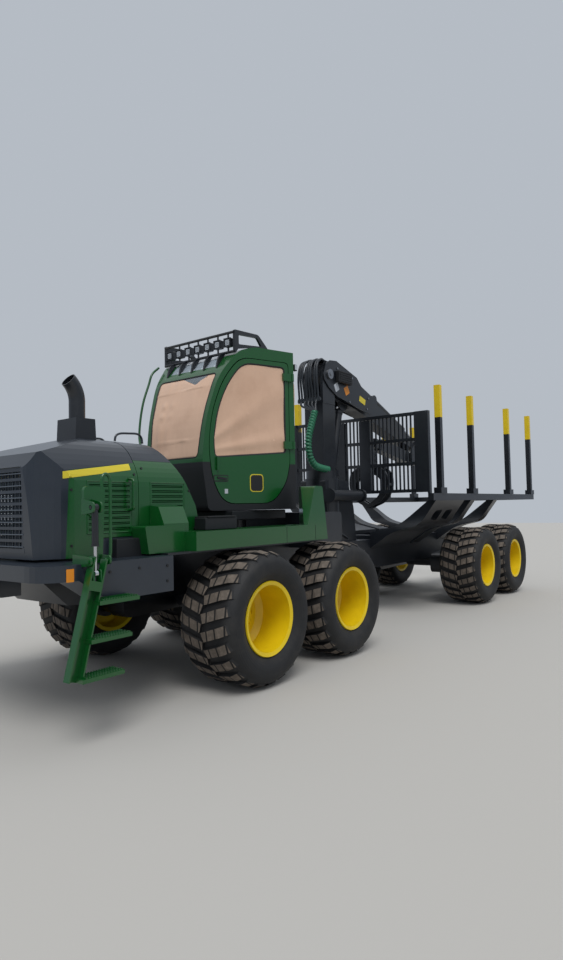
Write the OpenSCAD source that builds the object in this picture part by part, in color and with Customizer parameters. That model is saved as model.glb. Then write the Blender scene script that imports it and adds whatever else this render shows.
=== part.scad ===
// Forestry forwarder: eight driven wheels, two frames hinged in the middle,
// a cab on the front frame and a log bunk with a loading crane on the rear one.
// X points forward, Y to the machine's left, Z up. Millimetres.

/* [Whole machine] */
// Distance between the middles of the front and rear bogies
wheelbase = 6028; // [5600:1:6600]
// Front face of the bumper, ahead of the front bogie's middle
nose_ahead = 3000; // [2950:1:3100]
// Rear end of the bed rails, behind the rear bogie's middle
tail_behind = 2522; // [2450:1:2700]
// Steering hinge, behind the front bogie's middle
hinge_behind = 1950; // [1930:1:1980]

/* [Wheels] */
// Outer diameter of a tyre over its lugs
tyre_d = 1310; // [1280:1:1320]
// Width of a tyre
tyre_w = 710; // [640:1:715]
// Middle plane of the wheels from the machine's middle
wheel_y = 1195; // [1190:1:1230]
// Distance between the two wheels of a bogie
bogie_pitch = 1528; // [1500:1:1560]
// Diameter of the rim's flange
rim_d = 725; // [700:1:740]
// Width of the rim over its flanges
rim_w = 610; // [560:1:630]
// Thickness of the rim's metal
rim_wall = 14; // [10:1:20]
// Depth from the outer flange to the wheel disc
dish_depth = 430; // [380:1:450]
// Diameter of the hub that carries a wheel
hub_d = 400; // [360:1:420]
// Height of the lugs above the casing
lug_h = 38; // [30:1:45]

/* [Frames] */
// Height of the top of both frame beams
frame_top = 1180; // [1150:1:1200]
// Height of the bottom of the rear frame beam
frame_bottom = 720; // [690:1:760]
// Width of the rear frame beam
rear_beam_w = 620; // [560:1:660]
// Width of the front frame beam
front_beam_w = 820; // [780:1:860]
// Height of the middle hinge above the ground
hinge_z = 930; // [920:1:940]
// Diameter of the vertical hinge pin
hinge_pin_d = 120; // [100:1:140]
// Radius of the rounded ends of the hinge plates
hinge_r = 200; // [180:1:210]
// Diameter of the roll bearing between the frames
roll_d = 560; // [500:1:600]

/* [Front body] */
// Half width of the hood
hood_half = 900; // [860:1:930]
// Height of the hood's bottom edge
hood_bottom = 1350; // [1345:1:1380]
// Height of the hood's crown
hood_crown = 2420; // [2380:1:2460]
// Wall of the hood and its panels
hood_wall = 40; // [30:1:50]
// Station where the opening hood meets the fixed cowl
hood_split = 1860; // [1830:1:1880]
// Rear end of the fixed cowl at its bottom
cowl_rear = 1110; // [1100:1:1140]
// Half width of the side decks
deck_half = 1250; // [1200:1:1280]
// Height of the side decks' lower edge
deck_bottom = 1345; // [1335:1:1360]
// Height of the side decks' top
deck_top = 1520; // [1500:1:1560]

/* [Cab] */
// Half width of the cab at its front
cab_front_half = 460; // [430:1:480]
// Half width of the cab at its rear pillars
cab_rear_half = 830; // [800:1:850]
// Station of the cab's front at the window's foot
cab_front = 620; // [600:1:640]
// Station of the rear pillars
cab_pillar = -600; // [-620:1:-580]
// Station of the cab's rear wall
cab_rear = -860; // [-900:1:-840]
// Height of the cab floor's underside
cab_floor = 1700; // [1690:1:1740]
// Height of the roof
cab_roof = 3600; // [3560:1:3620]
// Wall of the cab
cab_wall = 55; // [50:1:60]
// Thickness of the window glass
glass_t = 8; // [6:1:10]
// Gap round the door in its frame
door_gap = 8; // [6:1:12]

/* [Log bunk] */
// Height of the bed rails' underside
rail_z = 1780; // [1750:1:1800]
// Depth of the bed rails
rail_h = 110; // [100:1:120]
// Middle of a bed rail from the machine's middle
rail_y = 1350; // [1330:1:1370]
// Height of the stakes' tops
stake_top = 3580; // [3500:1:3600]
// Width of a stake
stake_w = 90; // [80:1:100]
// Station of the gate behind the front bogie's middle
gate_behind = 3360; // [3340:1:3400]
// Height of the gate's top
gate_top = 3150; // [3100:1:3180]
// Half width of the gate
gate_half = 1340; // [1300:1:1350]

/* [Crane] */
// Slewing axis behind the front bogie's middle
slew_behind = 2400; // [2390:1:2420]
// Side of the crane pillar's square section
pillar_w = 330; // [300:1:350]
// Height of the boom's pivot
boom_pivot_z = 3720; // [3700:1:3740]
// Horizontal reach from the pivot to the elbow as parked
boom_run = 3080; // [3000:1:3100]
// Drop from the pivot to the elbow as parked
boom_drop = 900; // [860:1:920]
// Width of the main boom's section
boom_w = 240; // [220:1:260]
// Gap to the gate that the parked grapple keeps as it turns
park_gap = 8; // [5:1:20]
// Slewing range to each side, in degrees
slew_half = 20; // [15:1:22]
// Depth of the outer boom's section
outer_h = 200; // [180:1:210]
// Length of the extension that shows past the outer boom
tip_len = 270; // [250:1:300]
// Rise of the folded outer boom above the level, pointing forward
outer_rise = 9; // [8:1:10]

/* [Hidden] */
$fn = 48;

green = "#1f7a33";
yellow = "#e8c81e";
dark = "#2b3038";
black = "#1c1e22";
tyre_colour = "#26272a";
steel = "#b9bcc0";
film = "#d7ab8c";

// Stations are measured from the front bogie's middle, which stands here
front_x = (tail_behind + wheelbase - nose_ahead) / 2;
fit = 0.3;
wheel_z = tyre_d / 2;
hinge_x = -hinge_behind;
gate_x = -gate_behind;
slew_x = -slew_behind;
tail_x = -wheelbase - tail_behind;

module on_machine() {
    translate([front_x, 0, 0])
        children();
}

module both_sides() {
    children();
    mirror([0, 1, 0])
        children();
}

// A shape drawn in X and Z, given a width along Y about y
module side_plate(points, width, y = 0) {
    translate([0, y + width / 2, 0])
        rotate([90, 0, 0])
            linear_extrude(width)
                polygon(points);
}

// A shape drawn in Y and Z, given a length along X from x forward
module cross_plate(points, length, x) {
    translate([x, 0, 0])
        rotate([90, 0, 90])
            linear_extrude(length)
                polygon(points);
}

module pin_y(d, width, x, z, y = 0) {
    translate([x, y + width / 2, z])
        rotate([90, 0, 0])
            cylinder(d = d, h = width);
}

// Points of an outline with each corner rounded by its own radius: [x, y, radius]
function unit(v) = v / norm(v);
function flat(c) = [c[0], c[1]];
function rounded(corners, steps = 5) = [
    for (i = [0:len(corners) - 1])
        let (
            here = flat(corners[i]),
            before = flat(corners[(i + len(corners) - 1) % len(corners)]),
            after = flat(corners[(i + 1) % len(corners)]),
            r = min(corners[i][2], norm(before - here) * 0.49, norm(after - here) * 0.49),
            a = here + unit(before - here) * r,
            b = here + unit(after - here) * r
        )
        if (r == 0) here
        else each [for (k = [0:steps]) let (t = k / steps)
            (1 - t) * (1 - t) * a + 2 * t * (1 - t) * here + t * t * b]
];

// Axle row: station of the wheel
axle_x = [
    bogie_pitch / 2,
    -bogie_pitch / 2,
    -wheelbase + bogie_pitch / 2,
    -wheelbase - bogie_pitch / 2
];

rim_r = rim_d / 2;
bead_r = rim_r - 28;
rim_in = -rim_w / 2;
casing_r = tyre_d / 2 - lug_h;
disc_y = rim_w / 2 - dish_depth;

// Half section of a tyre from its axis: [radius, across the tread]
module tyre_section() {
    half = tyre_w / 2;
    polygon(rounded([
        [bead_r + fit, -rim_w / 2 + 25, 0],
        [rim_r - 10, -rim_w / 2 + 25, 0],
        [rim_r + 90, -half, 60],
        [casing_r - 55, -half + 6, 70],
        [casing_r, -half * 0.8, 60],
        [casing_r, half * 0.8, 60],
        [casing_r - 55, half - 6, 70],
        [rim_r + 90, half, 60],
        [rim_r - 10, rim_w / 2 - 25, 0],
        [bead_r + fit, rim_w / 2 - 25, 0]
    ], 4));
}

module at_wheel(axle, side) {
    on_machine()
        translate([axle_x[axle - 1], side * wheel_y, wheel_z])
            rotate([side > 0 ? -90 : 90, 0, 0])
                children();
}

// A lug is a bar across half the tread, swept back towards the shoulder. Its farthest corner
// lies on the tyre's outer diameter, and one such corner of the row points straight down.
lug_pitches = 24;
lug_w = 88;
lug_sweep = 17;
lug_flat = tyre_w * 0.3;
lug_corner = [lug_flat * sin(lug_sweep) + lug_w / 2 * cos(lug_sweep), 0];
lug_top = sqrt(pow(tyre_d / 2, 2) - pow(lug_corner[0], 2));
module lug() {
    half = tyre_w / 2;
    rotate([lug_sweep, 0, 0])
        translate([0, lug_w / 2, 0])
            rotate([90, 0, 0])
                linear_extrude(lug_w)
                    polygon([
                        [casing_r - 30, 8], [lug_top, 8], [lug_top, lug_flat],
                        [lug_top - 34, half * 0.86], [lug_top - 120, half * 0.99],
                        [casing_r - 150, half * 0.95]
                    ]);
}

module tyre(axle, side) {
    pitch = 360 / lug_pitches;
    down = atan2(lug_corner[0], lug_top) + (side > 0 ? 90 : -90);
    color(tyre_colour)
        at_wheel(axle, side) {
            rotate_extrude($fn = 96)
                tyre_section();
            for (k = [0:lug_pitches - 1]) {
                rotate([0, 0, down + k * pitch])
                    lug();
                rotate([0, 0, down + (k + 0.5) * pitch])
                    mirror([0, 0, 1])
                        lug();
            }
        }
}

// The rim's own Z points outward from the machine
module rim(axle, side) {
    hub_bolts = 12;
    color(yellow)
        at_wheel(axle, side) {
            difference() {
                rotate_extrude($fn = 96)
                    polygon([
                        [bead_r - rim_wall, rim_in + 12],
                        [rim_r - 6, rim_in],
                        [rim_r, rim_in + 12],
                        [rim_r - 12, rim_in + 22],
                        [bead_r, rim_in + 24],
                        [bead_r, -rim_in - 24],
                        [rim_r - 12, -rim_in - 22],
                        [rim_r, -rim_in - 12],
                        [rim_r - 6, -rim_in],
                        [bead_r - rim_wall, -rim_in - 12],
                        [bead_r - rim_wall, disc_y + 70],
                        [bead_r - rim_wall - 60, disc_y + 16],
                        [hub_d / 2 - 40, disc_y + 16],
                        [hub_d / 2 - 60, disc_y + 60],
                        [0, disc_y + 60],
                        [0, disc_y + 44],
                        [hub_d / 2 - 72, disc_y + 44],
                        [hub_d / 2 - 52, disc_y],
                        [bead_r - rim_wall - 50, disc_y],
                        [bead_r - rim_wall, disc_y + 45]
                    ]);
                for (turn = [0:360 / hub_bolts:359])
                    rotate([0, 0, turn])
                        translate([hub_d / 2 - 12, 0, disc_y - 1])
                            cylinder(d = 24, h = rim_wall + 4);
            }
        }
}

// Bogie case between a pair of wheels, with its two hubs
module bogie_pair(x) {
    case_y = 640;
    case_w = 260;
    case_h = 330;
    hub_face = wheel_y + disc_y - fit;
    nose_r = case_h / 2;
    translate([x, 0, 0])
        both_sides() {
            difference() {
                side_plate(rounded([
                    [bogie_pitch / 2 + nose_r, wheel_z - nose_r, 120],
                    [bogie_pitch / 2 + nose_r, wheel_z + nose_r, 120],
                    [300, wheel_z + nose_r + 60, 60],
                    [-300, wheel_z + nose_r + 60, 60],
                    [-bogie_pitch / 2 - nose_r, wheel_z + nose_r, 120],
                    [-bogie_pitch / 2 - nose_r, wheel_z - nose_r, 120],
                    [-200, wheel_z - nose_r + 20, 60],
                    [200, wheel_z - nose_r + 20, 60]
                ]), case_w, case_y);
                pin_y(axle_tube_d + 2 * fit, case_w + 60, 0, axle_z, case_y);
            }
            for (end = [1, -1])
                translate([end * bogie_pitch / 2, 0, wheel_z]) {
                    pin_y(hub_d - 110, hub_face - case_y - case_w / 2, 0, 0,
                          (hub_face + case_y + case_w / 2) / 2);
                    pin_y(hub_d, 40, 0, 0, hub_face - 20);
                }
        }
}

// Front frame: beam, bogie axle, deck plate, hinge tongue and tanks
axle_z = 700;
axle_tube_d = 260;
front_beam_bottom = 830;
deck_plate_t = 20;
beam_front = 2560;
beam_rear = -1700;
neck_front = -1110;
neck_w = 500;
hinge_plate_gap = 250;
hinge_plate_t = 75;
steer_anchor = [-1020, 500];
steer_eye = [-2140, 330];
steer_eye_t = 50;
steer_barrel_d = 110;
ear_t = 20;
cab_seat_x = -100;
cab_seat_d = 700;
tank_front = -1000;
tank_rear = -1640;
tank_half = 820;

// Two ears above and below a cylinder's eye, running out from a wall at y
module steer_ears(at, wall_y, wall_x0, wall_x1, half_gap) {
    for (z = [hinge_z - half_gap - ear_t, hinge_z + half_gap])
        translate([0, 0, z]) {
            linear_extrude(ear_t)
                polygon([
                    [wall_x0, wall_y],
                    [at[0] - 55, at[1]],
                    [at[0] + 55, at[1]],
                    [wall_x1, wall_y]
                ]);
            translate([at[0], at[1], 0])
                cylinder(r = 55, h = ear_t);
        }
}

module front_frame() {
    color(black)
        on_machine() {
            difference() {
                union() {
                    side_plate([
                        [beam_rear, 800], [beam_rear, frame_top - 100],
                        [-1450, deck_bottom - deck_plate_t],
                        [neck_front, deck_bottom - deck_plate_t],
                        [neck_front, front_beam_bottom], [-1500, front_beam_bottom]
                    ], neck_w);
                    side_plate([
                        [neck_front, front_beam_bottom],
                        [neck_front, deck_bottom - deck_plate_t],
                        [beam_front - 60, deck_bottom - deck_plate_t],
                        [beam_front, 1180], [beam_front - 300, 900],
                        [1500, front_beam_bottom]
                    ], front_beam_w);
                    side_plate(rounded([
                        [-330, front_beam_bottom + 20, 0], [-190, axle_z - 170, 80],
                        [190, axle_z - 170, 80], [330, front_beam_bottom + 20, 0]
                    ]), front_beam_w);
                    translate([hinge_x, -hinge_r, hinge_z - hinge_plate_gap / 2])
                        cube([beam_rear - hinge_x + 40, 2 * hinge_r, hinge_plate_gap]);
                    translate([hinge_x, 0, hinge_z - hinge_plate_gap / 2])
                        cylinder(r = hinge_r, h = hinge_plate_gap);
                    both_sides()
                        steer_ears(steer_anchor, front_beam_w / 2 - 30,
                                   steer_anchor[0] - 130, steer_anchor[0] + 130,
                                   steer_barrel_d / 2 + 4);
                }
                translate([hinge_x, 0, 0])
                    cylinder(d = hinge_pin_d + 2 * fit, h = 2000);
            }
            pin_y(axle_tube_d, 2 * 780, 0, axle_z);
            translate([-620, -1180, deck_bottom - deck_plate_t])
                cube([box_rear - fit + 620, 2360, deck_plate_t]);
            translate([cab_seat_x, 0, deck_bottom - 5])
                cylinder(d = cab_seat_d, h = cab_floor - deck_bottom + 5 - fit);
            side_plate(rounded([
                [tank_front, 1200, 0], [tank_front, 1650, 0],
                [tank_rear, 1650, 60], [tank_rear, 1290, 60],
                [tank_rear + 90, 1200, 40]
            ]), 2 * tank_half);
        }
}

module front_bogies() {
    color(black)
        on_machine()
            bogie_pair(0);
}

// Bumper that wraps round the nose, with a step box on each side
bumper_top = 1330;
bumper_bottom = 1210;
box_bottom = 1030;
box_rear = 1780;
bumper_in = 910;
module bumper() {
    color(dark)
        on_machine() {
            translate([0, 0, bumper_bottom])
                linear_extrude(bumper_top - bumper_bottom)
                    polygon(concat(
                        rounded([
                            [box_rear, -deck_half, 0], [nose_ahead, -deck_half, 260],
                            [nose_ahead, deck_half, 260], [box_rear, deck_half, 0]
                        ], 8),
                        [[box_rear, bumper_in], [beam_front + fit, bumper_in],
                         [beam_front + fit, -bumper_in], [box_rear, -bumper_in]]
                    ));
            both_sides()
                side_plate([
                    [box_rear, box_bottom], [2450, box_bottom],
                    [2720, bumper_bottom], [box_rear, bumper_bottom]
                ], deck_half - bumper_in, (deck_half + bumper_in) / 2);
            both_sides()
                side_plate([for (p = sill) [
                    p[0] + (p[0] > hood_split ? -8 : 8), p[1] > 1400 ? p[1] - 6 : bumper_top - 1
                ]], 40, hood_half - 7);
            difference() {
                side_plate(rounded([
                    [beam_front + fit, 1010, 0], [2820, 1010, 90],
                    [2940, bumper_bottom, 0], [beam_front + fit, bumper_bottom, 0]
                ]), 360);
                pin_y(70, 400, 2790, 1110);
            }
        }
}

module engine() {
    color(black)
        on_machine()
            translate([1430, -330, deck_bottom])
                cube([900, 660, 620]);
}

// Hood and cowl are cut from one form: a side outline crossed with a plan and a section
hood_nose = 2830;
module hood_form(inset = 0) {
    intersection() {
        side_plate([
            [cowl_rear + inset, hood_bottom - 1],
            [cowl_rear + inset, 1560],
            [1160 + inset, 1760],
            [1390 + inset, 2150 - inset],
            [1520 + inset, 2360 - inset],
            [2000, hood_crown - inset],
            [hood_nose - 60 - inset, 2200 - inset],
            [hood_nose - inset, 2080 - inset],
            [hood_nose - 40 - inset, hood_bottom - 1]
        ], 2 * hood_half + 2);
        cross_plate(rounded([
            [-hood_half + inset, hood_bottom, 0],
            [-hood_half + inset, 2050, 120],
            [-hood_half + 190 + inset, 2330 - inset, 160],
            [0, hood_crown + 30 - inset, 300],
            [hood_half - 190 - inset, 2330 - inset, 160],
            [hood_half - inset, 2050, 120],
            [hood_half - inset, hood_bottom, 0]
        ]), 2200, 900);
        translate([0, 0, hood_bottom])
            linear_extrude(1500)
                polygon(rounded([
                    [900, -hood_half + inset, 0],
                    [2600, -hood_half + inset, 200],
                    [hood_nose - inset, -hood_half + 170 + inset, 90],
                    [hood_nose - inset, hood_half - 170 - inset, 90],
                    [2600, hood_half - inset, 200],
                    [900, hood_half - inset, 0]
                ]));
    }
}

module hood_shell() {
    difference() {
        hood_form();
        hood_form(hood_wall);
        translate([900, -hood_half + hood_wall, hood_bottom - 1])
            cube([1900 - hood_wall, 2 * (hood_half - hood_wall), 2]);
    }
}

// The green side panels: everything of the shell that lies in this outline
panel_front = 2585;
module panel_zone(x0, x1, gap = 0) {
    both_sides()
        side_plate([
            [x0, hood_bottom - 2], [x0, 2150 - gap], [x1 - 30, 2060 - gap], [x1, hood_bottom - 2]
        ], 300, hood_half - 150 + 110);
}

grille_half = 640;
grille_low = 1400;
grille_high = 2090;
module grille_opening(gap = 0) {
    translate([hood_nose - 140, -grille_half - gap, grille_low - gap])
        cube([300, 2 * (grille_half + gap), grille_high - grille_low + 2 * gap]);
}

// Louvre field: station of its rear edge, its length
louvre_rows = 9;
louvre_pitch = 46;
module louvre_slots(x, length) {
    for (row = [0:louvre_rows - 1])
        both_sides()
            translate([x, hood_half - 150, 1560 + row * louvre_pitch])
                cube([length, 300, louvre_pitch * 0.45]);
}

module hood() {
    color(dark)
        on_machine()
            difference() {
                hood_shell();
                translate([900, -1000, 1300])
                    cube([hood_split - 900 + 6, 2000, 1300]);
                panel_zone(hood_split, panel_front);
                grille_opening();
                translate([0, exhaust_y, 0])
                    exhaust_box(fit);
            }
}

// Black sill below the green side panel, fixed to the bumper
sill = [[hood_split, hood_bottom - 1], [2330, hood_bottom - 1], [2270, 1500], [hood_split, 1500]];
module sill_outline(width, y) {
    both_sides()
        side_plate(sill, width, y);
}

module hood_sides() {
    color(green)
        on_machine()
            difference() {
                intersection() {
                    hood_shell();
                    panel_zone(hood_split + 6, panel_front - fit, 2);
                }
                louvre_slots(1960, 420);
                sill_outline(hood_wall * 4, hood_half);
            }
}

module cowl() {
    color(green)
        on_machine()
            difference() {
                hood_shell();
                translate([hood_split, -1000, 1300])
                    cube([1200, 2000, 1300]);
                louvre_slots(1330, 380);
            }
}

// Grille: a frame with level slats in front of upright fins
grille_slats = 6;
grille_fins = 23;
module grille() {
    wide = 2 * (grille_half - fit);
    tall = grille_high - grille_low - 2 * fit;
    color(dark)
        on_machine()
            translate([hood_nose - 75, -wide / 2, grille_low + fit]) {
                difference() {
                    cube([40, wide, tall]);
                    translate([-1, 35, 35])
                        cube([42, wide - 70, tall - 70]);
                }
                for (row = [1:grille_slats])
                    translate([0, 20, row * tall / (grille_slats + 1) - 12])
                        cube([40, wide - 40, 24]);
                for (fin = [1:grille_fins])
                    translate([4, fin * wide / (grille_fins + 1) - 4, 20])
                        cube([20, 8, tall - 40]);
            }
}

// Exhaust: a box on the hood and a pipe bent forward with a slanted mouth
exhaust_y = 180;
pipe_r = 75;
module exhaust_box(gap = 0) {
    side_plate([
        [1885 - gap, 2300], [1900 - gap, 2590], [2105 + gap, 2590], [2120 + gap, 2300]
    ], 300 + 2 * gap);
}

pipe_x = 1995;
pipe_wall = 8;
pipe_bend = 260;
module pipe_ring(r) {
    translate([pipe_x + pipe_bend, 0, 2760])
        rotate([90, 0, 0])
            rotate_extrude()
                translate([pipe_bend, 0])
                    circle(r = r);
}

module exhaust() {
    reach = 2 * pipe_bend;
    middle = [pipe_x + pipe_bend, 2760];
    color(black)
        on_machine()
            translate([0, exhaust_y, 0]) {
                exhaust_box();
                translate([pipe_x, 0, 2580])
                    cylinder(r = pipe_r, h = 180);
                difference() {
                    intersection() {
                        pipe_ring(pipe_r);
                        side_plate([
                            middle, middle - [reach, 0],
                            middle + reach * [cos(155), sin(155)],
                            middle + reach * [cos(130), sin(130)]
                        ], 4 * pipe_r);
                    }
                    pipe_ring(pipe_r - pipe_wall);
                }
            }
}

// Green decks along both sides, with the tall corner panels behind the cab
corner_rear = -640;
module side_decks() {
    color(green)
        on_machine() {
            ladder_post();
            both_sides() {
                side_plate([
                    [-400, deck_bottom + fit], [-400, deck_top], [1500, deck_top],
                    [1500, deck_bottom + fit]
                ], deck_half - hood_half - 10, (deck_half + hood_half + 10) / 2);
                // Stepped end of the deck and the fairing that leads from it up to the cowl
                side_plate(rounded([
                    [1499, deck_bottom + fit, 0], [1499, 1585, 0], [1960, 1585, 20],
                    [1920, deck_bottom + fit, 0]
                ]), 184, hood_half + 108);
                translate([1440, 0, 0])
                    rotate([90, 0, 90])
                        linear_extrude(300)
                            polygon([
                                [hood_half + 10, deck_top], [hood_half + 190, deck_top],
                                [hood_half + 190, 1600], [hood_half + 120, 1750],
                                [hood_half + 10, 1765]
                            ]);
                intersection() {
                    side_plate(rounded([
                        [corner_rear, deck_bottom + fit, 0], [corner_rear + 90, 1960, 30],
                        [-390, 1960, 30], [-180, deck_bottom + fit, 0]
                    ]), deck_half - hood_half - 10, (deck_half + hood_half + 10) / 2);
                    linear_extrude(2000)
                        polygon([
                            [corner_rear - 1, hood_half], [corner_rear - 1, deck_half + 1],
                            [-180, deck_half + 1], [-560, hood_half]
                        ]);
                }
            }
        }
}

// Boarding ladder, hinged about a fore-and-aft pin above the bumper's side
ladder_y = deck_half + 80;
ladder_pivot = [2610, 1350];
ladder_foot = [2830, 500];
ladder_eye_drop = 90;
ladder_ram_top = 1752;
step_len = 370;
step_w = 130;
// Step rows: height, station of the inner end
step_rows = [[1060, 2640], [790, 2715], [520, 2790]];
pin_d = 36;
eye_t = 34;
ladder_ram_x = 2631;

module pin_x(d, length, x, y, z) {
    translate([x - length / 2, y, z])
        rotate([0, 90, 0])
            cylinder(d = d, h = length);
}

// Fixed post with the ram's upper pin and the ladder's pivot lugs
module ladder_post() {
    post_y = deck_half + 8;
    side_plate(rounded([
        [2505, bumper_top + fit, 0], [2480, 1850, 20], [2480, 1915, 20],
        [2668, 1915, 40], [2668, 1730, 20], [2545, 1640, 20], [2545, bumper_top + fit, 0]
    ]), 30, post_y - 25);
    for (x = [ladder_ram_x - eye_t / 2 - 10 - 14, ladder_ram_x + eye_t / 2 + 10])
        difference() {
            cross_plate(rounded([
                [post_y - 40, 1700, 0], [ladder_y + 40, 1715, 30],
                [ladder_y + 40, 1790, 30], [post_y - 40, 1820, 0]
            ]), 14, x);
            pin_x(pin_d + 2 * fit, 60, x + 7, ladder_y, ladder_ram_top);
        }
    // Foot plate that ties the post to the ladder's two pivot lugs
    translate([2512, post_y - 118, bumper_top + fit])
        cube([180, 108, 14]);
    for (x = [2510, 2680])
        difference() {
            cross_plate(rounded([
                [post_y - 120, bumper_top + fit, 0], [deck_half + fit, bumper_top + fit, 0],
                [deck_half + fit, bumper_top - 20, 0],
                [ladder_y + 36, 1322, 30], [ladder_y + 36, 1386, 30],
                [post_y - 120, 1400, 0]
            ]), 16, x);
            pin_x(pin_d + 2 * fit, 60, x + 8, ladder_y, ladder_pivot[1]);
        }
}

module ladder() {
    dir = unit(ladder_foot - ladder_pivot);
    lean = atan2(dir[0], -dir[1]);
    beam_len = norm(ladder_foot - ladder_pivot);
    beam_w = 120;
    color(green)
        on_machine()
            translate([0, ladder_y, 0]) {
                translate([ladder_pivot[0] - 3, 0, ladder_pivot[1]])
                    rotate([0, -lean, 0])
                        difference() {
                            union() {
                                translate([-beam_w / 2, -35, -beam_len])
                                    cube([beam_w, 70, beam_len - 150]);
                                translate([-beam_w / 2, -35, -200])
                                    cube([14, 70, 225]);
                                translate([beam_w / 2 - 14, -35, -200])
                                    cube([14, 70, 225]);
                            }
                            translate([-beam_w / 2 + 12, -22, -beam_len - 1])
                                cube([beam_w - 24, 80, beam_len - 220]);
                        }
                for (row = step_rows)
                    translate([row[1] - step_len, -step_w / 2, row[0] - 30])
                        difference() {
                            cube([step_len, step_w, 30]);
                            translate([12, 12, -1])
                                cube([step_len - 24, step_w - 24, 22]);
                        }
                for (x = [ladder_pivot[0] - 84, ladder_pivot[0] + 70])
                    pin_x(pin_d, 52, x, 0, ladder_pivot[1]);
                for (x = [ladder_ram_x - eye_t / 2 - 10 - 12, ladder_ram_x + eye_t / 2 + 10])
                    cross_plate(rounded([
                        [-34, 1150, 0], [-34, 1255, 20], [-20, 1290, 20],
                        [25, 1290, 20], [34, 1150, 0]
                    ]), 12, x);
            }
}

// A ram's barrel from its eye at the origin along +X, and its rod
module ram_barrel(length, d, rod_d, eye_d, thick, bore_start) {
    difference() {
        union() {
            translate([0, 0, -thick / 2])
                cylinder(d = eye_d, h = thick);
            translate([eye_d * 0.3, 0, 0])
                rotate([0, 90, 0])
                    cylinder(d = d, h = length - eye_d * 0.3);
            translate([length - d * 0.35, 0, 0])
                rotate([0, 90, 0])
                    cylinder(d = d * 1.12, h = d * 0.35);
        }
        translate([bore_start, 0, 0])
            rotate([0, 90, 0])
                cylinder(d = rod_d + 2 * fit, h = length);
        translate([0, 0, -thick])
            cylinder(d = eye_pin_d(eye_d) + 2 * fit, h = 2 * thick);
    }
}

function eye_pin_d(eye_d) = eye_d * 0.45;

module ram_pin(eye_d, length) {
    translate([0, 0, -length / 2])
        cylinder(d = eye_pin_d(eye_d), h = length);
}

// The rod ends in a closed eye, its pin cut flush, so that it can leave its seat
module ram_rod(rest, inner, rod_d, eye_d, thick) {
    translate([inner, 0, 0])
        rotate([0, 90, 0])
            cylinder(d = rod_d, h = rest - inner - eye_d * 0.3);
    translate([rest, 0, -thick / 2])
        cylinder(d = eye_d, h = thick);
}

// Ladder ram: it hangs from the post, its eyes' pins run fore and aft
ladder_ram_rest = ladder_ram_top - (ladder_pivot[1] - ladder_eye_drop);
ladder_ram_barrel = 290;
ladder_ram_inner = 225;
module at_ladder_ram() {
    on_machine()
        translate([ladder_ram_x, ladder_y, ladder_ram_top])
            rotate([0, 90, 0])
                children();
}

module ladder_barrel() {
    color(black)
        at_ladder_ram() {
            ram_barrel(ladder_ram_barrel, 50, 24, 56, eye_t, 60);
            ram_pin(56, eye_t + 48);
        }
}

module ladder_rod() {
    color(steel)
        at_ladder_ram()
            ram_rod(ladder_ram_rest, ladder_ram_inner, 24, 46, eye_t - 6);
}

// Cab: one form made of a plan crossed with a side outline, hollowed by insets
cab_side_turn = atan2(cab_rear_half - cab_front_half, cab_front - cab_pillar);
cab_sill = 2240;
module cab_form(inset = 0, low = 0) {
    intersection() {
        translate([0, 0, cab_floor + low])
            linear_extrude(cab_roof - cab_floor)
                polygon([
                    [cab_front - inset, -cab_front_half + inset * 0.8],
                    [cab_pillar, -cab_rear_half + inset * 1.04],
                    [cab_rear + inset, -cab_rear_half + 190 + inset],
                    [cab_rear + inset, cab_rear_half - 190 - inset],
                    [cab_pillar, cab_rear_half - inset * 1.04],
                    [cab_front - inset, cab_front_half - inset * 0.8]
                ]);
        side_plate(rounded([
            [cab_front - 70 - inset, cab_floor + low, 60],
            [cab_front - inset, 2250, 120],
            [cab_front - 60 - inset, 2750, 200],
            [cab_front - 220 - inset, 3230, 160],
            [cab_front - 480 - inset, cab_roof - 60 - inset, 120],
            [cab_front - 700, cab_roof - inset, 60],
            [cab_rear + 130 + inset, cab_roof - inset, 100],
            [cab_rear + inset, cab_roof - 220 - inset, 100],
            [cab_rear + inset, 2160, 80],
            [cab_rear + 160 + inset, cab_floor + low, 0]
        ]), 2 * cab_rear_half + 100);
    }
}

// Shapes on the cab's side wall: X runs forward from the rear pillar, Y is height
module on_cab_side(depth_in, depth_out) {
    translate([cab_pillar, cab_rear_half, 0])
        rotate([0, 0, -cab_side_turn])
            rotate([90, 0, 0])
                translate([0, 0, -depth_out])
                    linear_extrude(depth_in + depth_out)
                        children();
}

// Door outline, from its lower rear corner round: [along, height, corner radius]
door_lines = [
    [75, 2250, 60], [130, 2010, 140], [330, 1770, 140], [1010, 1770, 170],
    [1150, 2050, 120], [1195, 2420, 160], [1140, 2820, 160],
    [1000, 3180, 160], [770, 3460, 140], [75, 3470, 60]
];
window_lines = [
    [135, 2370, 40], [1110, 2290, 50], [1130, 2480, 120], [1075, 2830, 160],
    [935, 3150, 160], [730, 3400, 130], [135, 3410, 60]
];
module door_outline(inset = 0) {
    polygon(rounded([for (p = door_lines) [
        p[0] + (p[0] < 600 ? inset : -inset),
        p[1] + (p[1] < 2600 ? inset : -inset),
        p[2]
    ]]));
}
module window_outline(inset = 0) {
    polygon(rounded([for (p = window_lines) [
        p[0] + (p[0] < 600 ? inset : -inset),
        p[1] + (p[1] < 2600 ? inset : -inset),
        p[2]
    ]]));
}

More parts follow.
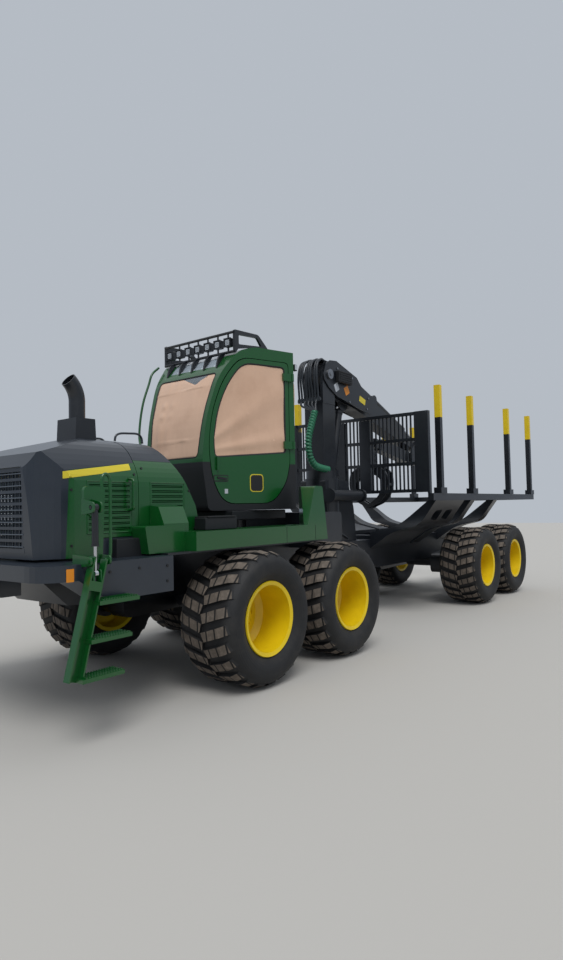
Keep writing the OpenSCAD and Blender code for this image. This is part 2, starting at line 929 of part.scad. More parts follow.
// Windscreen, roof and rear openings, each drawn through its wall
module cab_windows(inset = 0) {
    translate([cab_front - 330, 0, 0])
        rotate([90, 0, 90])
            linear_extrude(500)
                polygon(rounded([
                    [-cab_front_half + 75 + inset, 2290 + inset, 60],
                    [cab_front_half - 75 - inset, 2290 + inset, 60],
                    [cab_front_half + 5 - inset, 3260 - inset, 60],
                    [-cab_front_half - 5 + inset, 3260 - inset, 60]
                ]));
    translate([cab_front - 660 + inset, -380 + inset, 3300])
        cube([335 - 2 * inset, 760 - 2 * inset, 600]);
    translate([cab_rear - 100, -440 + inset, 2400 + inset])
        cube([200, 880 - 2 * inset, 880 - 2 * inset]);
    both_sides()
        translate([cab_rear, cab_rear_half - 190, 0])
            rotate([0, 0, atan2(190, cab_pillar - cab_rear)])
                translate([60 + inset, -150, 2400 + inset])
                    cube([190 - 2 * inset, 300, 880 - 2 * inset]);
    mirror([0, 1, 0])
        on_cab_side(100, 100)
            window_outline(inset);
}

module cab_shell() {
    color(green)
        on_machine()
            difference() {
                cab_form();
                cab_form(cab_wall, cab_wall);
                translate([-1200, -1200, cab_floor - 1])
                    cube([2400, 2400, cab_sill - cab_floor + 1]);
                cab_windows();
                on_cab_side(200, 200)
                    door_outline();
            }
}

module cab_skirt() {
    color(black)
        on_machine()
            difference() {
                cab_form();
                cab_form(cab_wall, cab_wall);
                translate([-1200, -1200, cab_sill - fit])
                    cube([2400, 2400, 2000]);
                on_cab_side(200, 200)
                    door_outline();
            }
}

glass_set = 8;
module cab_glazing() {
    color(film)
        on_machine()
            intersection() {
                difference() {
                    cab_form(glass_set);
                    cab_form(glass_set + glass_t, cab_wall);
                }
                cab_windows(fit);
            }
}

door_axis = [35, 28];
door_knuckles = [2420, 3240];
module door_skin() {
    intersection() {
        difference() {
            cab_form();
            cab_form(cab_wall - 8, -100);
        }
        translate([cab_pillar + 30, 0, cab_floor + 20])
            cube([1400, 1000, 2000]);
    }
}

module at_door_axis() {
    translate([cab_pillar, cab_rear_half, 0])
        rotate([0, 0, -cab_side_turn])
            translate([door_axis[0], door_axis[1], 0])
                children();
}

module cab_door() {
    color(green)
        on_machine() {
            difference() {
                intersection() {
                    door_skin();
                    on_cab_side(200, 200)
                        door_outline(door_gap);
                }
                on_cab_side(300, 300)
                    window_outline();
            }
            for (z = door_knuckles) {
                at_door_axis() {
                    translate([0, 0, z])
                        cylinder(d = 34, h = 90);
                    translate([0, -16, z])
                        cube([90, 16, 90]);
                    translate([75, -door_axis[1] + fit - 1, z])
                        cube([60, door_axis[1], 90]);
                }
            }
            at_door_axis()
                translate([1040, -door_axis[1], 2150])
                    rotate([90, 0, 0])
                        translate([0, 0, -30])
                            linear_extrude(31)
                                polygon(rounded([[0, 0, 8], [24, 0, 8], [24, 150, 8], [0, 150, 8]]));
        }
}

module door_glazing() {
    color(film)
        on_machine()
            intersection() {
                difference() {
                    cab_form(16);
                    cab_form(16 + glass_t, -100);
                }
                on_cab_side(300, 300)
                    window_outline(fit);
                translate([cab_pillar + 30, 0, cab_floor])
                    cube([1400, 1000, 2000]);
            }
}

// Seat, arm consoles and pedals seen through the glass
module cab_interior() {
    seat_x = -250;
    floor_z = cab_floor + cab_wall;
    color(black)
        on_machine() {
            translate([seat_x, 0, floor_z + fit])
                cylinder(d = 260, h = 330);
            translate([seat_x - 250, -250, floor_z + 330])
                cube([520, 500, 130]);
            side_plate(rounded([
                [seat_x - 250, floor_z + 440, 30], [seat_x - 130, floor_z + 440, 30],
                [seat_x - 230, floor_z + 1080, 60], [seat_x - 330, floor_z + 1080, 60]
            ]), 460);
            both_sides()
                side_plate(rounded([
                    [seat_x - 200, floor_z + 400, 30], [seat_x + 200, floor_z + 400, 30],
                    [seat_x + 330, floor_z + 660, 40], [seat_x - 120, floor_z + 640, 40]
                ]), 90, 290);
            translate([300, -170, floor_z + fit])
                rotate([0, 28, 0])
                    translate([0, 0, 40])
                        cube([20, 340, 180]);
            translate([300, -180, floor_z + fit])
                cube([120, 360, 60]);
        }
}

// Rack over the windscreen: a tube frame, its lamps and the curved guard bars
lamp_count = 7;
lamp = 96;
rack_half = 580;
rack_front = 190;
rack_low = 3520;
rack_top = 3745;
rack_mid = -230;
rack_rear = -400;
rack_tube = 32;
rib_count = 5;
module tube_between(a, b, d) {
    run = b - a;
    translate(a)
        rotate([0, acos(run[2] / norm(run)), atan2(run[1], run[0])])
            cylinder(d = d, h = norm(run));
}

// A square lamp with a visor, its lens looking forward
module work_lamp() {
    translate([-45, -lamp / 2, -lamp / 2])
        cube([55, lamp, lamp]);
    translate([-70, -lamp / 3, -lamp / 3])
        cube([30, lamp * 2 / 3, lamp * 2 / 3]);
    difference() {
        translate([9, -lamp / 2 - 4, -lamp / 2 - 4])
            cube([14, lamp + 8, lamp + 8]);
        translate([8, -lamp / 2 + 6, -lamp / 2 + 6])
            cube([16, lamp - 12, lamp - 12]);
    }
}

module light_guard() {
    lamp_span = 2 * rack_half - 190;
    color(black)
        on_machine() {
            for (z = [rack_low, rack_top])
                tube_between([rack_front, -rack_half, z], [rack_front, rack_half, z], rack_tube);
            both_sides() {
                // Side frame: a bent plate with an opening, down to the roof behind the lamps
                difference() {
                    side_plate(rounded([
                        [rack_front + 4, rack_low - 14, 0], [rack_front + 4, rack_top + 24, 10],
                        [rack_mid, rack_top + 46, 30], [rack_rear, cab_roof + 60, 20],
                        [rack_rear - 40, cab_roof + fit, 0], [rack_rear + 190, cab_roof + fit, 0],
                        [cab_front - 690, cab_roof + 4, 0], [rack_front - 60, rack_low + 40, 0],
                        [rack_front - 14, rack_low - 14, 0]
                    ]), 30, rack_half - 4);
                    side_plate(rounded([
                        [rack_front - 66, rack_low + 90, 20], [rack_front - 66, rack_top - 22, 20],
                        [rack_mid + 20, rack_top + 4, 20], [rack_rear + 110, cab_roof + 60, 20]
                    ]), 40, rack_half - 4);
                }
            }
            for (i = [0:lamp_count - 1]) {
                y = (i / (lamp_count - 1) - 0.5) * lamp_span;
                translate([rack_front + 2, y, (rack_low + rack_top) / 2])
                    work_lamp();
                translate([rack_front - 8, y - 9, rack_low])
                    cube([12, 18, rack_top - rack_low]);
            }
            // Ribs over the screen's top edge
            for (i = [0:rib_count - 1])
                translate([0, (i / (rib_count - 1) - 0.5) * 2 * (rack_half - 170), 0])
                    side_plate(rounded([
                        [rack_front - 10, rack_low, 0], [rack_front + 14, rack_low, 0],
                        [rack_front + 95, rack_low - 50, 60], [cab_front - 300, cab_roof - 270, 0],
                        [cab_front - 323, cab_roof - 245, 0], [cab_front - 390, cab_roof - 165, 0],
                        [rack_front - 10, rack_low - 20, 0]
                    ]), 22);
        }
}

// Middle joint: a fork round the front frame's tongue, with the roll shaft behind it
fork_web_x = hinge_x - 230;
fork_web_t = 90;
roll_face_x = fork_web_x - fork_web_t;
roll_shaft_d = 260;
roll_shaft_len = 240;
fork_half = 220;
module middle_joint() {
    gap = hinge_plate_gap / 2 + 1;
    color(black)
        on_machine() {
            for (side = [1, -1])
                translate([0, 0, hinge_z + (side > 0 ? gap : -gap - hinge_plate_t)])
                    linear_extrude(hinge_plate_t)
                        polygon(concat(
                            [[fork_web_x, -fork_half], [fork_web_x, fork_half]],
                            [for (a = [75:-15:-75])
                                [hinge_x + hinge_r * cos(a), hinge_r * sin(a)]]
                        ));
            translate([hinge_x, 0, hinge_z - gap - hinge_plate_t])
                cylinder(d = hinge_pin_d, h = 2 * (gap + hinge_plate_t) + 12);
            translate([roll_face_x, -fork_half, hinge_z - gap - hinge_plate_t])
                cube([fork_web_t, 2 * fork_half, 2 * (gap + hinge_plate_t)]);
            pin_x(roll_d, 50, roll_face_x - 25, 0, hinge_z);
            pin_x(roll_shaft_d, roll_shaft_len, roll_face_x - 50 - roll_shaft_len / 2 + 1, 0, hinge_z);
            both_sides()
                steer_ears(steer_eye, fork_half - 20, roll_face_x + 10, fork_web_x, steer_eye_t / 2 + 2);
        }
}

// Steering ram from the anchor on the front frame to the fork's ear
steer_run = steer_eye - steer_anchor;
steer_rest = norm(steer_run);
steer_ram_turn = atan2(steer_run[1], steer_run[0]);
steer_barrel_len = 800;
steer_inner = 370;
module at_steer_ram(side) {
    on_machine()
        mirror([0, side > 0 ? 0 : 1, 0])
            translate([steer_anchor[0], steer_anchor[1], hinge_z])
                rotate([0, 0, steer_ram_turn])
                    children();
}
module steer_barrel(side) {
    color(black)
        at_steer_ram(side) {
            ram_barrel(steer_barrel_len, steer_barrel_d, 50, 100, steer_eye_t - 2, 80);
            ram_pin(100, steer_barrel_d + 8 - 2 * fit);
        }
}
module steer_rod(side) {
    color(steel)
        at_steer_ram(side)
            ram_rod(steer_rest, steer_inner, 50, 90, steer_eye_t - 12);
}

// Rear frame: box beam, roll bearing housing, bogie axle and crane seat
housing_x = roll_face_x - 50 - fit;
module rear_frame() {
    rear_x = -wheelbase;
    color(black)
        on_machine() {
            difference() {
                union() {
                    pin_x(roll_d, 320, housing_x - 160, 0, hinge_z);
                    side_plate(rounded([
                        [housing_x - 60, hinge_z - 200, 40],
                        [housing_x - 60, frame_top, 60],
                        [rear_x - 1900, frame_top, 0],
                        [rear_x - 2080, frame_top - 60, 30],
                        [rear_x - 2080, 980, 30],
                        [rear_x - 1000, 940, 60],
                        [rear_x - 500, frame_bottom, 100],
                        [housing_x - 500, frame_bottom, 100]
                    ]), rear_beam_w);
                }
                pin_x(roll_shaft_d + 2 * fit, 800, housing_x + 140, 0, hinge_z);
            }
            translate([rear_x, 0, 0]) {
                pin_y(axle_tube_d, 2 * 780, 0, axle_z);
                side_plate(rounded([
                    [-330, frame_bottom + 20, 0], [-190, axle_z - 170, 80],
                    [190, axle_z - 170, 80], [330, frame_bottom + 20, 0]
                ]), rear_beam_w);
            }
        }
}

module rear_bogies() {
    color(black)
        on_machine()
            bogie_pair(-wheelbase);
}

// Bunk station: [station, length along the machine]
arm_rows = [
    [-3460, 150], [-4440, 170], [-4920, 190], [-6060, 190]
];
arm_root_y = rear_beam_w / 2;
// An arm leaves the frame nearly level, then climbs to the bed rail. It flares at its root
arm_flare = 90;
module bunk_arm(x, length) {
    root = length / 2 + arm_flare;
    intersection() {
        cross_plate(rounded([
            [arm_root_y + fit, frame_top - 140, 0],
            [arm_root_y + fit, frame_top + 110, 0],
            [780, frame_top + 220, 140],
            [rail_y - 75, rail_z - fit, 0],
            [rail_y + 55, rail_z - fit, 0],
            [1120, frame_top + 215, 130],
            [700, frame_top + 120, 120]
        ]), 2 * root, x - root);
        side_plate(rounded([
            [x - root, frame_bottom, 0], [x - root, frame_top + 150, 90],
            [x - length / 2, frame_top + 310, 120], [x - length / 2, rail_z + 10, 0],
            [x + length / 2, rail_z + 10, 0], [x + length / 2, frame_top + 310, 120],
            [x + root, frame_top + 150, 90], [x + root, frame_bottom, 0]
        ]), 3000);
    }
}
module bunks() {
    color(black)
        on_machine() {
            for (row = arm_rows)
                both_sides()
                    bunk_arm(row[0], row[1]);
            for (row = arm_rows)
                translate([row[0] - row[1] / 2, -arm_root_y - 1, frame_top + fit])
                    cube([row[1], 2 * arm_root_y + 2, 60]);
            both_sides() {
                difference() {
                    bunk_arm(-3950, 840);
                    // Two rounded windows in the wide plate between the first arms
                    for (x = [-3760, -4160])
                        translate([x, 0, 1550])
                            rotate([90, 0, 0])
                                translate([0, 0, -rail_y])
                                    linear_extrude(1200)
                                        polygon(rounded([
                                            [-130, -90, 60], [130, -60, 60],
                                            [130, 70, 50], [-130, 90, 50]
                                        ]));
                }
                translate([tail_x, rail_y - 45, rail_z])
                    cube([-3330 - tail_x, 90, rail_h]);
            }
            translate([tail_x, -rail_y + 40, rail_z])
                cube([90, 2 * rail_y - 80, rail_h]);
        }
}

// Stake stations along each bed rail
stake_rows = [-3700, -5050, -7000, -8420];
stake_foot = rail_z + rail_h;
module stakes() {
    color(black)
        on_machine()
            for (x = stake_rows)
                both_sides()
                    translate([x, rail_y, 0]) {
                        translate([-stake_w / 2, -stake_w / 2, stake_foot + fit])
                            cube([stake_w, stake_w, stake_top - stake_foot - fit]);
                        translate([-110, -62, stake_foot + fit])
                            cube([220, 124, 90]);
                    }
}

// Gate: posts, rails and upright bars behind the crane
gate_t = 80;
gate_bar = 22;
gate_pitch = 68;
// Post rows: inner and outer distance from the machine's middle
gate_posts = [[140, 330], [1120, gate_half]];
// Rail heights
gate_low = rail_z + rail_h + 20;
gate_rails = [gate_low, 2330, 2700, gate_top - 50];
module gate() {
    color(black)
        on_machine()
            translate([gate_x, 0, 0]) {
                both_sides()
                    for (post = gate_posts)
                        translate([-gate_t / 2, post[0], gate_low])
                            cube([gate_t, post[1] - post[0], gate_top - gate_low - (post[0] < 500 ? 60 : 0)]);
                for (z = gate_rails)
                    translate([-20, -gate_half + 5, z])
                        cube([40, 2 * gate_half - 10, 50]);
                for (y = [-gate_half + gate_pitch:gate_pitch:gate_half - gate_pitch / 2])
                    translate([-gate_bar / 2, y - gate_bar / 2, gate_low + 10])
                        cube([gate_bar, gate_bar, gate_top - gate_low - 20]);
                both_sides()
                    translate([-gate_t / 2, rail_y - 44, rail_z + rail_h + fit])
                        cube([gate_t, gate_half - rail_y + 44, 60]);
            }
}

// Crane base: a pedestal with two rack housings lying along the machine
base_top = 2140;
rack_y = 290;
rack_d = 170;
rack_z = 1880;
rack_ahead = 240;
rack_behind = 680;
module crane_base() {
    color(black)
        on_machine() {
            difference() {
                side_plate(rounded([
                    [slew_x + 170, frame_top + fit, 0], [slew_x + 200, 1700, 60],
                    [slew_x + 230, base_top - 30, 30], [slew_x - 400, base_top - 30, 30],
                    [slew_x - 560, 1700, 60], [slew_x - 620, frame_top + fit, 0]
                ]), 440);
                pin_x(roll_d + 12, 900, slew_x + 130, 0, hinge_z);
            }
            translate([slew_x, 0, 1600])
                cylinder(d = 520, h = base_top - 1600);
            both_sides()
                pin_x(rack_d, rack_ahead + rack_behind, slew_x + (rack_ahead - rack_behind) / 2,
                      rack_y, rack_z);
            for (y = [-rack_y, rack_y])
                for (x = [slew_x - rack_behind + 20, slew_x + rack_ahead - 20])
                    pin_x(rack_d + 40, 40, x, y, rack_z);
        }
}

// Everything of the boom is set out from the pivot by the parked direction
pivot = [slew_x, boom_pivot_z];
boom_len = norm([boom_run, boom_drop]);
boom_slope = atan2(boom_drop, boom_run);
pivot_pin_d = 90;
lift_base_back = 290;
lift_base_drop = 1480;
lift_at = 640;
lift_off = -250;
lift_eye_t = 70;
lift_barrel_d = 130;
lift_eye_d = 100;

// Boom frame: X runs from the pivot to the elbow, Y is up from the boom's line
module at_boom() {
    on_machine()
        translate([pivot[0], 0, pivot[1]])
            rotate([0, -boom_slope, 0])
                rotate([90, 0, 180])
                    children();
}
module boom_plate(points, width, y = 0) {
    translate([0, 0, y - width / 2])
        linear_extrude(width)
            polygon(points);
}

module crane_pillar() {
    fork_in = boom_w / 2 + 6;
    fork_t = 45;
    color(black)
        on_machine() {
            translate([slew_x, 0, base_top + 2]) {
                cylinder(d = 460, h = 120);
                translate([-pillar_w / 2, -pillar_w / 2, 100])
                    cube([pillar_w, pillar_w, 1130]);
            }
            for (side = [1, -1])
                side_plate(rounded([
                    [slew_x - pillar_w / 2, 3300, 0], [slew_x + pillar_w / 2, 3300, 0],
                    [slew_x + pillar_w / 2, 3560, 80], [slew_x + 130, 3850, 110],
                    [slew_x - 130, 3850, 110], [slew_x - pillar_w / 2, 3560, 80]
                ]), fork_t, side * (fork_in + fork_t / 2));
            translate([slew_x - pillar_w / 2, -fork_in - fork_t, 3270])
                cube([pillar_w, 2 * (fork_in + fork_t), 60]);
            pin_y(pivot_pin_d, 2 * (fork_in + fork_t) + 30, pivot[0], pivot[1]);
            for (side = [1, -1])
                difference() {
                    side_plate(rounded([
                        [slew_x - pillar_w / 2 + 10, 2320 - 20, 0],
                        [slew_x - lift_base_back - 40, boom_pivot_z - lift_base_drop + 60, 40],
                        [slew_x - lift_base_back - 60, boom_pivot_z - lift_base_drop - 60, 40],
                        [slew_x - pillar_w / 2 + 10, base_top + 110, 0]
                    ]), 28, side * (lift_barrel_d / 2 + 6 + 14));
                }
        }
}

// Main boom: a deep root that thins toward the elbow, slotted for the lift ram
elbow_half = 85;
fold_base = [1560, 300];
fold_eye_t = 60;
fold_barrel_d = 105;
fold_eye_d = 90;
module main_boom() {
    color(black)
        at_boom()
            difference() {
                union() {
                    boom_plate(rounded([
                        [-150, -60, 60], [-120, 170, 80], [130, 290, 60],
                        [760, 300, 30], [930, 215, 30], [2500, 150, 60],
                        [2850, elbow_half, 60], [boom_len + elbow_half, elbow_half, 80],
                        [boom_len + elbow_half, -elbow_half, 80], [2850, -elbow_half - 10, 60],
                        [2500, -130, 60], [1000, -170, 60], [300, -245, 60],
                        [40, -200, 60]
                    ]), boom_w);
                    for (side = [1, -1])
                        boom_plate(rounded([
                            [fold_base[0] - 130, 150, 0], [fold_base[0] - 40, fold_base[1] + 45, 40],
                            [fold_base[0] + 50, fold_base[1] + 45, 40], [fold_base[0] + 150, 150, 0]
                        ]), 25, side * (fold_barrel_d / 2 + 6 + 13));
                    for (side = [1, -1])
                        boom_plate(rounded([
                            [lift_at - 150, -150, 0], [lift_at - 70, lift_off - 60, 40],
                            [lift_at + 70, lift_off - 60, 40], [lift_at + 170, -150, 0]
                        ]), 30, side * (lift_eye_t / 2 + 5 + 15));
                }
                cylinder(d = pivot_pin_d + 2 * fit, h = 600, center = true);
                translate([lift_at - 190, lift_off - 300, -lift_eye_t / 2 - 5])
                    cube([420, 460, lift_eye_t + 10]);
                translate([boom_len, 0, -300])
                    cylinder(d = elbow_pin_d + 2 * fit, h = 600);
            }
}

// Lift ram from the pillar's foot up into the boom's slot
lift_foot = [slew_x - lift_base_back, boom_pivot_z - lift_base_drop];
lift_head = pivot + [
    -cos(boom_slope) * lift_at - sin(boom_slope) * lift_off,
    -sin(boom_slope) * lift_at + cos(boom_slope) * lift_off
];
lift_rest = norm(lift_head - lift_foot);
lift_turn = atan2(lift_head[1] - lift_foot[1], lift_head[0] - lift_foot[0]);
lift_barrel_len = 1020;
lift_inner = 95;
module at_lift_ram() {
    on_machine()
        translate([lift_foot[0], 0, lift_foot[1]])
            rotate([0, -lift_turn, 0])
                rotate([90, 0, 0])
                    children();
}
module lift_barrel() {
    color(black)
        at_lift_ram() {
            ram_barrel(lift_barrel_len, lift_barrel_d, 66, lift_eye_d, lift_eye_t, 85);
            ram_pin(lift_eye_d, lift_barrel_d + 12);
        }
}
module lift_rod() {
    color(steel)
        at_lift_ram()
            ram_rod(lift_rest, lift_inner, 66, lift_eye_d - 10, lift_eye_t);
}

// Outer boom: hollow beam under the main boom, with the knuckle plates at the elbow
elbow_pin_d = 80;
outer_drop = 250;
outer_w = 180;
outer_wall = 22;
lever_r = 350;
lever_turn = 162;
plate_t = 25;
elbow = pivot + [-boom_run, -boom_drop];

// The outer boom is as long as parks the grapple where it clears the gate, turned and slewed
blade_out = 395;
blade_gap = 95;
blade_t = 30;
park_run = (gate_behind + gate_t / 2 - slew_behind
    + norm([blade_out, blade_gap + blade_t / 2]) + park_gap) / cos(slew_half);
outer_len = (boom_run - park_run - outer_drop * sin(outer_rise)) / cos(outer_rise) - tip_len;
module at_elbow() {
    on_machine()
        translate([elbow[0], 0, elbow[1]])
            rotate([0, -outer_rise, 0])
                rotate([90, 0, 0])
                    children();
}
lever_eye = [lever_r * cos(lever_turn), lever_r * sin(lever_turn)];
module outer_boom() {
    plate_y = boom_w / 2 + 6 + plate_t / 2;
    color(black)
        at_elbow() {
            for (side = [1, -1])
                boom_plate(rounded([
                    [lever_eye[0] - 45, lever_eye[1] + 30, 40],
                    [lever_eye[0] + 30, lever_eye[1] + 50, 40],
                    [90, 70, 60], [260, -outer_drop + outer_h / 2 - 10, 60],
                    [260, -outer_drop - outer_h / 2 + 10, 40],
                    [-60, -outer_drop - outer_h / 2 + 10, 60],
                    [-120, -120, 60], [lever_eye[0] - 40, lever_eye[1] - 40, 40]
                ]), plate_t, side * plate_y);
            translate([0, 0, -plate_y - plate_t / 2 - 10])
                cylinder(d = elbow_pin_d, h = 2 * plate_y + plate_t + 20);
            difference() {
                translate([-60, -outer_drop - outer_h / 2, -outer_w / 2])
                    cube([outer_len + 60, outer_h, outer_w]);
                translate([-60 + outer_wall, -outer_drop - outer_h / 2 + outer_wall,
                           -outer_w / 2 + outer_wall])
                    cube([outer_len + 60, outer_h - 2 * outer_wall, outer_w - 2 * outer_wall]);
            }
            for (side = [1, -1])
                translate([-30, -outer_drop - outer_h / 2 + 20, side > 0 ? outer_w / 2 : -plate_y])
                    cube([260, outer_h - 40, plate_y - outer_w / 2]);
        }
}

// Telescoping tip that runs inside the outer boom
tip_eye_t = 60;
module boom_tip() {
    slide = 1;
    h = outer_h - 2 * outer_wall - 2 * slide;
    w = outer_w - 2 * outer_wall - 2 * slide;
    color(black)
        at_elbow() {
            translate([60, -outer_drop - h / 2, -w / 2])
                cube([outer_len + tip_len - 150, h, w]);
            difference() {
                boom_plate(rounded([
                    [outer_len + tip_len - 60, -outer_drop + 60, 0],
                    [outer_len + tip_len + 40, -outer_drop + 55, 40],
                    [outer_len + tip_len + 60, -outer_drop - 55, 40],
                    [outer_len + tip_len - 60, -outer_drop - 60, 0]
                ]), tip_eye_t);
                translate([outer_len + tip_len, -outer_drop, -100])
                    cylinder(d = hang_pin_d + 2 * fit, h = 200);
            }
        }
}

// Fold ram along the top of the main boom, drawn in the boom's frame
fold_head = [
    boom_len + lever_r * cos(180 - lever_turn - outer_rise + boom_slope),
    lever_r * sin(180 - lever_turn - outer_rise + boom_slope)
];
fold_rest = norm(fold_head - fold_base);
fold_turn = atan2(fold_head[1] - fold_base[1], fold_head[0] - fold_base[0]);
fold_barrel_len = 1250;
fold_inner = 760;
module at_fold_ram() {
    at_boom()
        translate([fold_base[0], fold_base[1], 0])
            rotate([0, 0, fold_turn])
                children();
}
module fold_barrel() {
    color(black)
        at_fold_ram() {
            ram_barrel(fold_barrel_len, fold_barrel_d, 56, fold_eye_d, fold_eye_t, 80);
            ram_pin(fold_eye_d, fold_barrel_d + 12);
        }
}
module fold_rod() {
    color(steel)
        at_fold_ram()
            ram_rod(fold_rest, fold_inner, 56, fold_eye_d - 10, fold_eye_t);
}

// Everything that hangs from the tip, set out from its pin
hang_pin_d = 50;
hang = elbow + [
    (outer_len + tip_len) * cos(outer_rise) + outer_drop * sin(outer_rise),
    (outer_len + tip_len) * sin(outer_rise) - outer_drop * cos(outer_rise)
];
link_len = 180;
rotator_h = 220;
head_h = 120;
jaw_pivot_y = 110;
jaw_pivot_drop = link_len + rotator_h + head_h - 40;
module at_hang() {
    on_machine()
        translate([hang[0], 0, hang[1]])
            children();
}
module hanger() {
    color(black)
        at_hang() {
            for (side = [1, -1])
                side_plate(rounded([
                    [-50, 50, 45], [50, 50, 45], [45, -link_len + 40, 0], [-45, -link_len + 40, 0]
                ]), 20, side * (tip_eye_t / 2 + 4 + 10));
            pin_y(hang_pin_d, tip_eye_t + 60, 0, 0);
            translate([-60, -60, -link_len])
                cube([120, 120, 60]);
        }
}
module grapple_head() {
    color(black)
        at_hang() {
            translate([0, 0, -link_len - rotator_h])
                cylinder(d = 210, h = rotator_h - fit);
            for (z = [40, 130])
                translate([0, 0, -link_len - z - 25])
                    cylinder(d = 250, h = 22);
            translate([-165, -75, -link_len - rotator_h - 12])
                cube([330, 150, 30]);
            for (side = [1, -1])
                cross_plate(rounded([
                    [-150, -link_len - rotator_h - 10, 0], [150, -link_len - rotator_h - 10, 0],
                    [jaw_pivot_y + 62, -jaw_pivot_drop - 30, 40],
                    [jaw_pivot_y, -jaw_pivot_drop - 62, 40],
                    [0, -jaw_pivot_drop + 20, 40],
                    [-jaw_pivot_y, -jaw_pivot_drop - 62, 40],
                    [-jaw_pivot_y - 62, -jaw_pivot_drop - 30, 40]
                ]), 30, side > 0 ? 135 : -165);
            for (side = [1, -1])
                pin_x(44, 350, 0, side * jaw_pivot_y, -jaw_pivot_drop);
        }
}

// Grapple jaw: a pair of curved blades tied by a cross tube. Blade gap differs by side
module jaw(side, blade_x) {
    color(black)
        at_hang()
            translate([0, 0, -jaw_pivot_drop])
                mirror([0, side > 0 ? 0 : 1, 0]) {
                    difference() {
                        for (x = [-blade_x - blade_t / 2, blade_x - blade_t / 2])
                            cross_plate(rounded([
                                [jaw_pivot_y - 58, 20, 40], [jaw_pivot_y + 40, 62, 50],
                                [370, -40, 120], [blade_out, -330, 150], [250, -560, 120],
                                [-40, -670, 10], [-20, -610, 30], [190, -480, 120],
                                [290, -290, 120], [230, -150, 90], [jaw_pivot_y - 50, -60, 30]
                            ], 6), blade_t, x);
                        pin_x(44 + 2 * fit, 400, 0, jaw_pivot_y, 0);
                    }
                    pin_x(60, 2 * blade_x, 0, 345, -270);
                }
}

tyre(1, 1);  // tyre_1_left
rim(1, 1);  // rim_1_left
tyre(1, -1);  // tyre_1_right
rim(1, -1);  // rim_1_right
tyre(2, 1);  // tyre_2_left
rim(2, 1);  // rim_2_left
tyre(2, -1);  // tyre_2_right
rim(2, -1);  // rim_2_right
tyre(3, 1);  // tyre_3_left
rim(3, 1);  // rim_3_left
tyre(3, -1);  // tyre_3_right
rim(3, -1);  // rim_3_right
tyre(4, 1);  // tyre_4_left
rim(4, 1);  // rim_4_left
tyre(4, -1);  // tyre_4_right
rim(4, -1);  // rim_4_right
front_frame();
front_bogies();
bumper();
engine();
hood();
hood_sides();
grille();
cowl();
exhaust();
side_decks();
cab_shell();
cab_skirt();
cab_glazing();
cab_door();
door_glazing();
cab_interior();
light_guard();
ladder();
ladder_barrel();
ladder_rod();
middle_joint();
steer_barrel(1);  // steer_barrel_left
steer_rod(1);  // steer_rod_left
steer_barrel(-1);  // steer_barrel_right
steer_rod(-1);  // steer_rod_right
rear_frame();
rear_bogies();
bunks();
stakes();
gate();
crane_base();
crane_pillar();
main_boom();
outer_boom();
boom_tip();
hanger();
grapple_head();
jaw(1, blade_gap);  // jaw_left
jaw(-1, blade_gap - blade_t - 15);  // jaw_right
lift_barrel();
lift_rod();
fold_barrel();
fold_rod();
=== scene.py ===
import math

import bmesh
import bpy
from mathutils import Matrix, Vector
from mathutils.bvhtree import BVHTree


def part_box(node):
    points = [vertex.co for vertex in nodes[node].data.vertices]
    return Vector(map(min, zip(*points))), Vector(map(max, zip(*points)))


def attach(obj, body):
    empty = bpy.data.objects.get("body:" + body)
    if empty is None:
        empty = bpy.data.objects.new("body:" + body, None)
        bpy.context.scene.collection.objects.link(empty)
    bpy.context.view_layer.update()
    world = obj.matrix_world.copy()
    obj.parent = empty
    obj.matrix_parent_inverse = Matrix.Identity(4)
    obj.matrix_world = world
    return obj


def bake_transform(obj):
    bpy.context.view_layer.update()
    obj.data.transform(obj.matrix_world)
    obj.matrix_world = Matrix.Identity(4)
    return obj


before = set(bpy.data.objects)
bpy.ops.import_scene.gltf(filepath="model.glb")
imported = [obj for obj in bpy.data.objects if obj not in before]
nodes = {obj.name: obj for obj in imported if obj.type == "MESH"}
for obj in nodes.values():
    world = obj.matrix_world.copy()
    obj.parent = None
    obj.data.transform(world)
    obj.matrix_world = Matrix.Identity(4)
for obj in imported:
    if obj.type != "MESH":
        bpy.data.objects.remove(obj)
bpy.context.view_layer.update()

mm = 0.001
print("frame loaded,", len(nodes), "solids")


# Places that the pieces below are set out from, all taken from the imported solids
def middleOf(node):
    low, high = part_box(node)
    return (low + high) / 2


def highOf(node):
    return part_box(node)[1]


frontX = (middleOf("rim_1_left").x + middleOf("rim_2_left").x) / 2    # front bogie's middle
wheelNames = [f"{axle}_{side}" for axle in (1, 2, 3, 4) for side in ("left", "right")]


def at(x, y, z):
    # millimetres from the front bogie's middle, as on the drawing
    return Vector((frontX + x * mm, y * mm, z * mm))


# Colours and shader nodes
def linear(hexText):
    values = [int(hexText[i:i + 2], 16) / 255 for i in (1, 3, 5)]
    return tuple([v / 12.92 if v <= 0.04045 else ((v + 0.055) / 1.055) ** 2.4 for v in values] + [1.0])


def addNode(tree, kind, settings=None, links=None):
    node = tree.nodes.new(kind)
    for name, value in (settings or {}).items():
        if name in node.inputs.keys():
            node.inputs[name].default_value = value
        else:
            setattr(node, name, value)
    for socket, source in (links or {}).items():
        tree.links.new(source, node.inputs[socket])
    return node


def mixColours(tree, factor, first, second):
    # first and second are a hex colour or a socket each; inputs 6, 7 and output 2 are the mix's colours
    mix = addNode(tree, "ShaderNodeMix", {"data_type": "RGBA"}, {"Factor": factor})
    for place, colour in ((6, first), (7, second)):
        if isinstance(colour, str):
            mix.inputs[place].default_value = linear(colour)
        else:
            tree.links.new(colour, mix.inputs[place])
    return mix.outputs[2]


